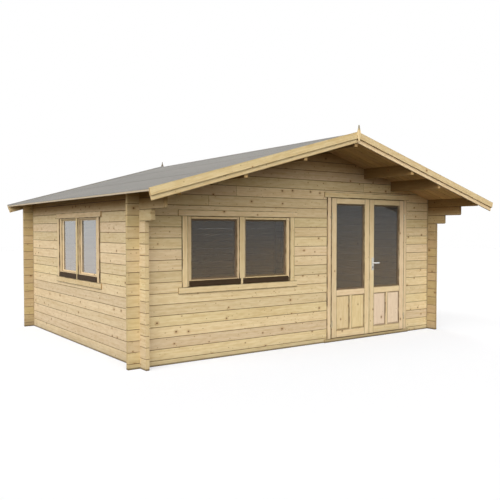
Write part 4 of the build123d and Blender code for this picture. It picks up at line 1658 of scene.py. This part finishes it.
@dataclass
class DoubleWindow:
    """A window of two sashes in a wall: cover boards, frame, sashes with beads, panes and dark drip bars."""

    name: str
    seat: Seat
    width: float
    top_rail: float
    pane: Pane
    timber: Timber
    bead: Timber
    seed: int
    sill: float = 0.835
    head: float = 1.62
    cover_half: float = 0.034
    cover_step: float = 0.003
    post_half: float = 0.02
    gap: float = 0.003
    proud: float = 0.004
    thickness: float = 0.046
    stile: float = 0.05
    meeting: float = 0.036
    bottom_rail: float = 0.076
    bar_lift: float = 0.007
    bar_height: float = 0.06
    bar_proud: float = 0.022
    bar_inset: float = 0.024
    bar_fall: float = 0.012
    bar_nose: float = 0.01
    bar_turns: tuple[float, float, int] = (0.15, 1.0, 5)
    bar_grain: float = 3.0
    bar_under: Pairs = (
        (-0.022, 0.006), (-0.019, 0.0), (-0.013, 0.0), (-0.012, 0.004), (-0.009, 0.004), (-0.008, 0.0),
    )
    nail_steps: Triple = (-0.052, -0.018, 0.04)
    ease: float = 0.0025

    def boards(self, boards: Sequence[Board], seed: int) -> Solid:
        """Eased boards in the window's seat."""
        return EasedBoards.build(boards, self.seat, self.ease, self.seed + seed)

    def trim(self) -> None:
        """Cover boards outside and inside, with the strip over the middle post."""
        boards = []
        for (near, far), over in COVER_LAYERS:
            boards += cover_boards(self.width, (self.sill, self.head), (near, far), over, PLAN.trim_width)
            reach = self.width / 2 + PLAN.trim_width + over
            low, high = (-reach, near, self.sill - PLAN.trim_width), (reach, far, self.sill)
            boards.append(Board(low, high))
        front, back = -PLAN.trim_thickness, -self.proud - PLAN.gap
        knee = self.sill + self.bar_lift + self.bar_height + self.cover_step
        foot = self.post_half - self.cover_step
        strip = (self.cover_half, back, self.head - PLAN.gap)
        boards.append(Board((-self.cover_half, front, knee), strip))
        boards.append(Board((-foot, front, self.sill + PLAN.gap), (foot, back, knee)))
        name, node = f"{self.name}_cover_boards", f"{self.name}_trim"
        Piece(name, self.boards(boards, 0), COVER_PINE, "cover_boards", node=node).show()

    def lining(self) -> None:
        """Lining of the opening and the post in its middle."""
        half, rim, deep = self.width / 2, PLAN.lining, PLAN.log_thickness
        low, high = self.sill + PLAN.gap, self.head - PLAN.gap
        boards = [
            Board((-half - rim, 0.0, self.sill - rim), (half + rim, deep, self.sill)),
            Board((-half - rim, 0.0, self.head), (half + rim, deep, self.head + rim)),
            Board((-half - rim, 0.0, low), (-half, deep, high)),
            Board((half, 0.0, low), (half + rim, deep, high)),
            Board((-self.post_half, -self.proud - PLAN.gap, low), (self.post_half, deep, high)),
        ]
        name, node = f"{self.name}_lining", f"{self.name}_frame"
        Piece(name, self.boards(boards, 1), FRAME_PINE, "frames", node=node).show()

    def sashes(self) -> None:
        """Stiles and rails of both sashes, and the moulded bead round each pane."""
        front, back = -self.proud, self.thickness - self.proud
        base, top = self.sill + self.gap, self.head - self.gap
        light_base, light_top = base + self.bottom_rail, top - self.top_rail
        boards = []
        beads = []
        for side in Side:
            middle = side * (self.post_half + self.gap)
            edge = side * (self.width / 2 - self.gap)
            inner = middle + side * self.meeting
            outer = edge - side * self.stile
            for ends in ((middle, inner), (outer, edge)):
                near, far = sorted(ends)
                boards.append(Board((near, front, base), (far, back, top)))
            near, far = sorted((inner, outer))
            boards.append(Board((near, front, base), (far, back, light_base)))
            boards.append(Board((near, front, light_top), (far, back, top)))
            low, high = (near, front, light_base), (far, front, light_top)
            beads.append(mitred_beads(low, high, LEDGE, self.seat, self.seed + 5 + side))
        name, node = f"{self.name}_sash_timbers", f"{self.name}_sashes"
        Piece(name, self.boards(boards, 2), self.timber, "joinery", node=node).show()
        Piece(f"{self.name}_beads", Solid.joined(beads), self.bead, "joinery").show()

    def drip_bars(self) -> None:
        """Dark bars that shed rain: a sloped top, a rounded nose and a throat under it, along each sash.

        The section's points are (depth, rise). The nose is an arc from the top's lower edge down to the face.
        """
        front, base, nose = -self.proud, self.sill + self.bar_lift, self.bar_nose
        turn = np.linspace(*self.bar_turns) * (math.pi / 2)
        crown = base + self.bar_height - self.bar_fall
        arc = np.stack(
            [-self.bar_proud + nose * (1 - np.sin(turn)), crown - nose + nose * np.cos(turn)], axis=1
        )
        under = np.array(self.bar_under) + (0.0, base)
        profile = np.concatenate([arc, under, [(front, base), (front, base + self.bar_height)]])
        solids = []
        for side in Side:
            ends = sorted((side * self.post_half, side * (self.width / 2 - self.bar_inset)))
            run = np.array(ends)[:, None] * np.ones(len(profile))
            section = np.broadcast_to(profile.T[:, None], (2, 2, len(profile)))
            points = np.stack([run, *section], axis=-1).reshape(-1, 3)
            place = points[:, [0, 2, 1]] + side * self.bar_grain
            faces = tube_faces(1, 2, len(profile))
            solids.append(Solid.plain(self.seat.place(points), faces, place))
        name, node = f"{self.name}_rain_bars", f"{self.name}_drip_bars"
        Piece(name, Solid.joined(solids), DARK_STAIN, "drip_bars", node=node).show()

    def nails(self) -> None:
        """Nail heads in the ends of the outer cover boards."""
        middle = (self.width + PLAN.trim_width) / 2
        steps = np.array(self.nail_steps)
        rows = np.append(self.sill + steps, self.head - steps[::-1])
        spots = spot_grid([-middle, middle], -PLAN.trim_thickness, rows)
        outward = tuple(-value for value in self.seat.inward)
        show_nails(f"{self.name}_nails", self.seat.place(spots), outward, "cover_boards")

    def build(self, frame: Frame) -> None:
        """Makes the window's pieces and gives the panes their finish.

        Args:
            frame: The loaded frame.
        """
        self.trim()
        self.lining()
        self.sashes()
        self.drip_bars()
        self.nails()
        repaint(frame, self.pane, f"{self.name}_glass")


@dataclass
class DoubleDoor:
    """The double door: cover boards, lining, stops, threshold and two panelled leaves with their fittings.

    Tables of pairs are (inset, depth) for panels, (depth, share) for the stations of a carried outline,
    (radius, height) for turned pieces and (right, up) for the keyhole.
    """

    place: float = 1.056209
    width: float = 1.409
    head: float = 1.89
    threshold: float = 0.045
    floor_top: float = 0.055
    side_trim: float = 0.062
    gap: float = 0.0075
    leaf_front: float = -0.024
    leaf_back: float = 0.018
    stile: float = 0.087
    bottom_rail: float = 0.092
    panel_height: float = 0.455
    mid_rail: float = 0.08
    top_rail: float = 0.072
    muntin: float = 0.042
    bead_setback: float = 0.0005
    stop_front: float = 0.024
    stop_width: float = 0.014
    panel_setback: float = 0.016
    panel_thickness: float = 0.012
    panel_rise: float = 0.011
    panel_groove: Pairs = ((0.0055, 0.001), (0.007, -0.0015))
    bevel: float = 0.022
    bevel_step: Pair = (0.0015, 0.0025)
    strip: float = 0.0045
    strip_short: float = 0.004
    strip_faces: Pair = (0.0008, 0.012)
    handle_rise: float = 1.018
    handle_run: float = 0.06175
    plate_width: float = 0.04
    plate_height: float = 0.172
    plate_drop: float = 0.015
    plate_thickness: float = 0.008
    plate_corner: float = 0.006
    plate_stations: Pairs = ((0.0, 1.0), (0.6, 1.0), (0.9, 0.975), (1.0, 0.93))
    collar: Pairs = ((0.0135, -0.001), (0.0135, 0.003), (0.0125, 0.0045), (0.0098, 0.005))
    collar_segments: int = 28
    screw_reach: float = 0.072
    screw_dome: Pair = (0.0042, 0.0014)
    screw_segments: int = 14
    key_drop: float = 0.055
    key_eye: float = 0.0082
    key_open: float = 0.3
    key_points: int = 15
    key_foot: Pairs = ((-0.0048, -0.021), (-0.003, -0.0235), (0.003, -0.0235), (0.0048, -0.021))
    key_stations: Pairs = ((-0.001, 1.0), (0.0012, 1.0), (0.0018, 0.9))
    lever_stand: float = 0.036
    lever_reach: float = 0.087
    lever_thickness: float = 0.012
    lever_root: float = 0.002
    lever_bend: float = 0.014
    lever_neck: float = 0.008
    lever_arm: Pair = (0.0056, 0.0088)
    lever_flat: Pair = (0.002, 0.03)
    lever_tip: float = 0.006
    lever_close: float = 0.02
    lever_rows: tuple[int, int, int] = (5, 9, 16)
    lever_ring: int = 20
    hinge_rises: Pair = (0.2, 1.609)
    knuckle: float = 0.042
    pin_stand: float = -0.032
    cap_gap: float = 0.0003
    cap_profile: Pairs = (
        (0.0072, -0.001), (0.0076, 0.0004), (0.0068, 0.0022), (0.0042, 0.0036), (0.0012, 0.0041),
    )
    cap_segments: int = 16
    nail_rows: tuple[float, ...] = (0.1, 0.48, 0.92, 1.36, 1.8, 1.91, 1.94)
    ease: float = 0.0025
    surround_seed: int = 90
    leaf_seed: int = 110
    strip_seed: int = 116
    bead_seed: int = 120
    panel_seed: int = 138
    plate_seed: int = 140
    key_seed: int = 150

    @property
    def seat(self) -> Seat:
        """The seat on the middle of the doorway."""
        return front_seat(self.place)

    def faces(self) -> tuple[Pair, Pair]:
        """The outer and the inner face of a leaf, each with the way out of it."""
        return (self.leaf_front, -1.0), (self.leaf_back, 1.0)

    def surround(self) -> None:
        """Cover boards, lining, stops and threshold."""
        half, deep, gap, rim = self.width / 2, PLAN.log_thickness, PLAN.gap, PLAN.lining
        sill, head = self.threshold, self.head
        trim = []
        for foot, (faces, over) in zip((sill, self.floor_top), COVER_LAYERS):
            trim += cover_boards(self.width, (foot, head), faces, over, self.side_trim)
        lining = [
            Board((-half - rim, 0.0, 0.0), (-half, deep, head - gap)),
            Board((half, 0.0, 0.0), (half + rim, deep, head - gap)),
            Board((-half - rim, 0.0, head), (half + rim, deep, head + rim)),
        ]
        near, inner = self.stop_front, half - self.stop_width
        stops = [
            Board((-half, near, sill), (-inner, deep, head)),
            Board((inner, near, sill), (half, deep, head)),
            Board((-inner + gap, near, head - self.stop_width), (inner - gap, deep, head)),
        ]
        long = half + self.side_trim + PLAN.trim_overhang
        step = [
            Board((-long, -PLAN.trim_thickness, 0.0), (long, 0.0, sill - gap)),
            Board((-half + gap, 0.0, 0.0), (half - gap, deep, sill - gap)),
        ]
        parts = (
            ("door_cover_boards", trim, COVER_PINE, "cover_boards", "door_trim"),
            ("door_lining", lining, FRAME_PINE, "frames", "door_frame"),
            ("door_stop_strips", stops, FRAME_PINE, "frames", "door_stops"),
            ("door_step", step, SILL_WOOD, "threshold", "door_threshold"),
        )
        for number, (name, boards, finish, slot, node) in enumerate(parts):
            solid = EasedBoards.build(boards, self.seat, self.ease, self.surround_seed + number)
            Piece(name, solid, finish, slot, node=node).show()

    def leaf(self, side: Side) -> None:
        """Stiles, rails and beads of one leaf, and its two raised panels.

        Args:
            side: Which leaf.
        """
        body = f"{side.word}_door"
        front, back, start_edge = self.leaf_front, self.leaf_back, self.gap / 2
        leaf_width = (self.width - 3 * self.gap) / 2
        near, far = sorted((side * start_edge, side * (start_edge + leaf_width)))
        base, top = self.threshold + self.gap, self.head - self.gap
        start, stop = near + self.stile, far - self.stile
        panel_base = base + self.bottom_rail
        panel_top = panel_base + self.panel_height
        light_base, light_top = panel_top + self.mid_rail, top - self.top_rail
        centre = (near + far) / 2
        split = (centre - self.muntin / 2, centre + self.muntin / 2)
        boards = [
            Board((near, front, base), (start, back, top)),
            Board((stop, front, base), (far, back, top)),
            Board((start, front, base), (stop, back, panel_base)),
            Board((start, front, panel_top), (stop, back, light_base)),
            Board((start, front, light_top), (stop, back, top)),
            Board((split[0], front, panel_base), (split[1], back, panel_top)),
        ]
        timber = EasedBoards.build(boards, self.seat, self.ease, self.leaf_seed + side)
        Piece(f"{body}_timbers", timber, DOOR_PINE, "joinery", body, f"{body}_leaf").show()

        profile = LEDGE.copy()
        profile[-2:, 1] = back - front - self.bead_setback
        low, high = (start, front, light_base), (stop, front, light_top)
        bead = mitred_beads(low, high, profile, self.seat, self.bead_seed + side)
        Piece(f"{body}_beads", bead, BEAD_SHADE, "joinery", body).show()

        face, (step, fall) = front + self.panel_setback, self.bevel_step
        bevel = ((self.bevel, fall - self.panel_rise), (self.bevel + step, -self.panel_rise))
        rings = np.array([(0.0, self.panel_thickness), (0.0, 0.0), *self.panel_groove, *bevel])
        panels = []
        for number, (low_end, high_end) in enumerate(((start, split[0]), (split[1], stop))):
            low, high = (low_end, face, panel_base), (high_end, face, panel_top)
            panels.append(raised_panel(low, high, rings, self.seat, self.panel_seed + number + side))
        pine = ROSY_PINE if side is Side.RIGHT else PANEL_PINE
        Piece(f"{body}_raised_panels", Solid.joined(panels), pine, "joinery", body, f"{body}_panels").show()

    def meeting_strip(self) -> None:
        """A strip on the edge of the left leaf that closes most of the gap between the leaves."""
        foot, top = self.threshold + self.gap + self.strip_short, self.head - self.gap - self.strip_short
        near, far = (self.leaf_front + depth for depth in self.strip_faces)
        board = Board((-self.gap / 2, near, foot), (self.strip - self.gap / 2, far, top))
        solid = EasedBoards.build([board], self.seat, self.ease / 4, self.strip_seed)
        Piece("left_door_meeting_strip", solid, PALE_PINE, "joinery", "left_door").show()

    def plates(self) -> None:
        """A plate on each face of the right leaf with crowned edges, a collar, a keyhole and two screws."""
        middle = np.array([self.handle_run, self.handle_rise - self.plate_drop])
        turn = np.linspace(0.0, math.pi / 2, 5)
        reach = np.array([self.plate_width, self.plate_height]) / 2 - self.plate_corner
        quarter = reach + self.plate_corner * np.stack([np.cos(turn), np.sin(turn)], axis=1)
        back = quarter[::-1]
        outline = middle + np.concatenate([quarter, back * (-1, 1), quarter * (-1, -1), back * (1, -1)])
        plates, screws, holes = [], [], []
        for face, out in self.faces():
            stations = np.array(self.plate_stations) * (out * self.plate_thickness, 1.0) + (face, 0.0)
            plates.append(carried_outline(outline, stations, self.seat, self.plate_seed))
            skin, way = face + out * self.plate_thickness, (0.0, out, 0.0)
            spot = self.seat.place(np.array([[self.handle_run, skin, self.handle_rise]]))
            plates.append(turned(np.array(self.collar), spot, way, self.collar_segments))
            heights = middle[1] + np.array([-self.screw_reach, self.screw_reach])
            spots = self.seat.place(spot_grid(middle[:1], skin, heights))
            screws.append(turned(dome(*self.screw_dome), spots, way, self.screw_segments))
            holes.append(self.keyhole(skin, out))
        slot, body, node = "handle_metal", "right_door", "door_handle_plates"
        Piece("door_latch_plates", Solid.joined(plates), PLATE, slot, body, node).show()
        Piece("door_latch_screws", Solid.joined(screws), NAIL, slot, body, smooth=True).show()
        Piece("door_keyholes", Solid.joined(holes), KEYHOLE_SHADE, slot, body).show()

    def keyhole(self, skin: float, out: float) -> Solid:
        """A key cylinder's face: a round eye over a narrower foot, as one outline carried outwards.

        Args:
            skin: Face of the plate.
            out: The way out, -1 or 1.

        Returns:
            The solid.
        """
        turn = np.linspace(-self.key_open, math.pi + self.key_open, self.key_points)
        eye = self.key_eye * np.stack([np.cos(turn), np.sin(turn)], axis=1)
        spot = np.array([self.handle_run, self.handle_rise - self.key_drop])
        stations = np.array(self.key_stations) * (out, 1.0) + (skin, 0.0)
        # The keyhole stands proud and dark, as painted shade for the hole.
        outline = np.concatenate([eye, self.key_foot]) + spot
        return carried_outline(outline, stations, self.seat, self.key_seed)

    def lever(self) -> None:
        """The lever outside and inside: an oval carried along a neck, a quarter turn and an arm.

        The path runs straight out of the plate, round a quarter circle and along the leaf. The oval's half
        width and half height go from a round neck to a flat arm, and close at the tip as a square root.
        """
        bend, ring = self.lever_bend, self.lever_ring
        neck_rows, turn_rows, arm_rows = self.lever_rows
        turn = np.linspace(0.0, math.pi / 2, turn_rows)[1:]
        arm = np.linspace(bend, self.lever_reach, arm_rows)[1:]
        angle = np.arange(ring) * (2 * math.pi / ring)
        flat_start, flat_run = self.lever_flat
        solids = []
        for face, out in self.faces():
            start = face + out * (self.plate_thickness - self.lever_root)
            line = face + out * (self.plate_thickness + self.lever_stand + self.lever_thickness / 2)
            neck = np.linspace(start, line - out * bend, neck_rows)
            elbow = np.stack([bend * (1 - np.cos(turn)), line - out * bend * (1 - np.sin(turn))], axis=1)
            straight = np.stack([arm, np.full(len(arm), line)], axis=1)
            path = np.concatenate([np.stack([np.zeros(neck_rows), neck], axis=1), elbow, straight])
            tangent = np.gradient(path, axis=0)
            tangent = tangent / np.linalg.norm(tangent, axis=1, keepdims=True)
            normal = np.stack([-tangent[:, 1], tangent[:, 0]], axis=1)
            share = np.clip((path[:, 0] - flat_start) / flat_run, 0, 1)
            left = np.clip((self.lever_reach - path[:, 0]) / self.lever_tip, 0.0, 1.0)
            close = np.sqrt(np.clip(1 - (1 - left) ** 2, self.lever_close, 1.0))
            wide, high = ((self.lever_neck * (1 - share) + half * share) * close for half in self.lever_arm)
            flat = path[:, None, :] + wide[:, None, None] * np.cos(angle)[:, None] * normal[:, None, :]
            rise = self.handle_rise + high[:, None] * np.sin(angle)
            points = np.stack([flat[..., 0] + self.handle_run, flat[..., 1], rise], axis=-1).reshape(-1, 3)
            solids.append(Solid.plain(self.seat.place(points), tube_faces(1, len(path), ring)))
        name, slot, body = "door_lever_handle", "handle_metal", "door_lever"
        Piece(name, Solid.joined(solids), SATIN, slot, body, "door_lever", smooth=True).show()

    def hinge_caps(self) -> None:
        """Turned caps over the sleeves of each leaf and under the pins on the frame."""
        half = self.width / 2 - self.gap / 2
        profile = np.array(self.cap_profile)
        feet = np.array(self.hinge_rises)
        tops = feet + 2 * self.knuckle + self.cap_gap
        for side in Side:
            body = f"{side.word}_door"
            spots = self.seat.place(spot_grid([side * half], self.pin_stand, tops))
            solid = turned(profile, spots, (0.0, 0.0, 1.0), self.cap_segments)
            Piece(f"{body}_hinge_caps", solid, ZINC, "hinge_metal", body, smooth=True).show()
        spots = self.seat.place(spot_grid([-half, half], self.pin_stand, feet))
        solid = turned(profile, spots, (0.0, 0.0, -1.0), self.cap_segments)
        Piece("door_hinge_feet", solid, ZINC, "hinge_metal", smooth=True).show()

    def nails(self) -> None:
        """Nail heads up the outer cover boards."""
        middle = (self.width + self.side_trim) / 2
        spots = spot_grid([-middle, middle], -PLAN.trim_thickness, self.nail_rows)
        show_nails("door_cover_board_nails", self.seat.place(spots), (0.0, -1.0, 0.0), "cover_boards")

    def build(self, frame: Frame) -> None:
        """Makes the door's pieces and gives its panes and hinges their finish.

        Args:
            frame: The loaded frame.
        """
        self.surround()
        for side in Side:
            self.leaf(side)
        self.plates()
        self.meeting_strip()
        self.lever()
        self.hinge_caps()
        self.nails()
        repaint(frame, DOOR_PANE, "left_door_glass", "right_door_glass")
        repaint(frame, ZINC, "door_hinge_pins", "left_door_hinge_sleeves", "right_door_hinge_sleeves")


@dataclass
class Floor:
    """Floor boards on bearers."""

    pitch: float = 0.0955
    ease: float = 0.0025
    seed: int = 170

    def build(self, frame: Frame) -> None:
        """Lays the boards over the node of the frame that they stand for.

        Args:
            frame: The loaded frame.
        """
        (left, front, foot), (right, back, top) = plain_box(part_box("floor_boards"))
        count = max(1, round((back - front) / self.pitch))
        edges = np.linspace(front, back, count + 1)
        pairs = zip(edges[:-1], edges[1:])
        boards = [Board((left, near, foot), (right, far, top)) for near, far in pairs]
        solid = EasedBoards.build(boards, Seat((0.0, 0.0, 0.0)), self.ease, self.seed, Axis.UP)
        Piece("floor_planks", solid, FLOOR_PINE, "floor_timber", node="floor_boards").show()
        repaint(frame, BEARER_PINE, "floor_bearers")


@dataclass
class Studio:
    """Camera at the photo's angle, soft light, white background and a pale floor that keeps the shadow."""

    eye: Triple = (-5.26, -7.5744, 1.4612)
    yaw: float = 0.623395
    pitch: float = 0.031161
    lens: float = 45.1
    sensor: float = 36.0
    sky: float = 0.4
    sky_tint: Colour = (1.0, 0.85, 0.62)
    keys: tuple[tuple[float, Triple], ...] = ((2.2, (-0.3, -1.0, 0.5)), (2.25, (-1.0, -0.3, 0.6)))
    key_spread: float = 1.0
    key_tint: Colour = (0.98, 0.99, 1.0)
    rear_spot: Triple = (5.5, 6.5, 2.8)
    rear_aim: Triple = (0.8, 0.8, 1.2)
    rear_power: float = 420.0
    rear_size: float = 4.0
    floor_reach: float = 40.0
    floor_dull: Colour = (0.055, 0.044, 0.03)
    floor_pale: Colour = (0.5, 0.5, 0.5)
    floor_glow: Colour = (0.49, 0.515, 0.56)

    def camera(self) -> None:
        """Sets the camera, looking along the yaw from +Y and down by the pitch."""
        lens = bpy.data.cameras.new("photo_camera")
        lens.lens = self.lens
        lens.sensor_width = self.sensor
        camera = placed("photo_camera", lens)
        level = math.cos(self.pitch)
        look = Vector((math.sin(self.yaw) * level, math.cos(self.yaw) * level, -math.sin(self.pitch)))
        camera.location = self.eye
        camera.rotation_euler = look.to_track_quat("-Z", "Y").to_euler()
        bpy.context.scene.camera = camera

    @staticmethod
    def seen(graph: Graph) -> Socket:
        """1 for rays that show a background: straight, mirrored or through glass."""
        path = graph.add("ShaderNodeLightPath").outputs
        return graph.most(path["Is Glossy Ray"], path["Is Transmission Ray"], path["Is Camera Ray"])

    def world(self) -> None:
        """A world that is white where it is seen, and a weaker, warmer fill as light."""
        world = bpy.data.worlds.new("studio_world")
        world.use_nodes = True
        graph = Graph(world.node_tree)
        shown = self.seen(graph)
        strength = graph.ramp(shown, 1.0 - self.sky, self.sky)
        colour = graph.mix(shown, self.sky_tint, WHITE)
        back = graph.add("ShaderNodeBackground", {"Color": colour, "Strength": strength})
        graph.add("ShaderNodeOutputWorld", {"Surface": back.outputs[0]})
        bpy.context.scene.world = world

    def key_lights(self) -> None:
        """Broad soft lamps, one for the front and one for the left side."""
        for energy, direction in self.keys:
            lamp = bpy.data.lights.new("soft_key", "SUN")
            lamp.energy = energy
            lamp.angle = self.key_spread
            lamp.color = self.key_tint
            holder = placed("soft_key", lamp)
            holder.rotation_euler = Vector(direction).to_track_quat("Z", "Y").to_euler()

    def rear_light(self) -> None:
        """A broad panel of light behind, for the back and the right side."""
        lamp = bpy.data.lights.new("soft_rear", "AREA")
        lamp.energy = self.rear_power
        lamp.size = self.rear_size
        holder = placed("soft_rear", lamp)
        holder.location = self.rear_spot
        way = Vector(self.rear_aim) - Vector(self.rear_spot)
        holder.rotation_euler = way.to_track_quat("-Z", "Y").to_euler()
        holder.visible_camera = False

    def floor(self) -> None:
        """A pale floor, white where it is seen apart from the shadow, duller as light from below."""
        reach = self.floor_reach
        corners = [(-reach, -reach, 0.0), (reach, -reach, 0.0), (reach, reach, 0.0), (-reach, reach, 0.0)]
        mesh = bpy.data.meshes.new("studio_floor")
        mesh.from_pydata(corners, [], [(0, 1, 2, 3)])
        floor = placed("studio_floor", mesh)
        material = bpy.data.materials.new("studio_floor")
        material.use_nodes = True
        graph = Graph(material.node_tree)
        dull = graph.add("ShaderNodeBsdfDiffuse", {"Color": self.floor_dull})
        pale = graph.add("ShaderNodeBsdfDiffuse", {"Color": self.floor_pale})
        glow = graph.add("ShaderNodeEmission", {"Color": self.floor_glow, "Strength": 1.0})
        shown = graph.add("ShaderNodeAddShader", {0: pale.outputs[0], 1: glow.outputs[0]})
        shares = {0: self.seen(graph), 1: dull.outputs[0], 2: shown.outputs[0]}
        both = graph.add("ShaderNodeMixShader", shares)
        graph.add("ShaderNodeOutputMaterial", {"Surface": both.outputs[0]})
        mesh.materials.append(material)

    def build(self) -> None:
        """Sets up the whole studio."""
        bpy.context.scene.view_settings.view_transform = "Standard"
        self.camera()
        self.world()
        self.key_lights()
        self.rear_light()
        self.floor()
        LOG.info("studio: camera, world, lamps and floor")


# The front window's beads in painted shade; the left window's in pale pine.
FRONT_WINDOW = DoubleWindow(
    "front_window", front_seat(-1.061885), 1.456, 0.028, FRONT_PANE, JOINERY_PINE, BEAD_SHADE, 200
)
LEFT_WINDOW = DoubleWindow(
    "left_window", left_seat(0.229162), 1.336, 0.012, LEFT_PANE, PALE_PINE, PALE_PINE, 230
)


def plain_box(corners: Sequence[Any]) -> list[list[float]]:
    """A box's two corners as plain lists of numbers."""
    return [[float(value) for value in corner] for corner in corners]


def main() -> None:
    """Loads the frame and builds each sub-assembly in order."""
    logging.basicConfig(level=logging.INFO, format="%(name)s %(message)s")
    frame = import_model()
    Studio().build()
    LogWalls().dress(frame)
    for part in (Roof(), FRONT_WINDOW, LEFT_WINDOW, DoubleDoor(), Floor()):
        part.build(frame)


if __name__ == "__main__":
    main()
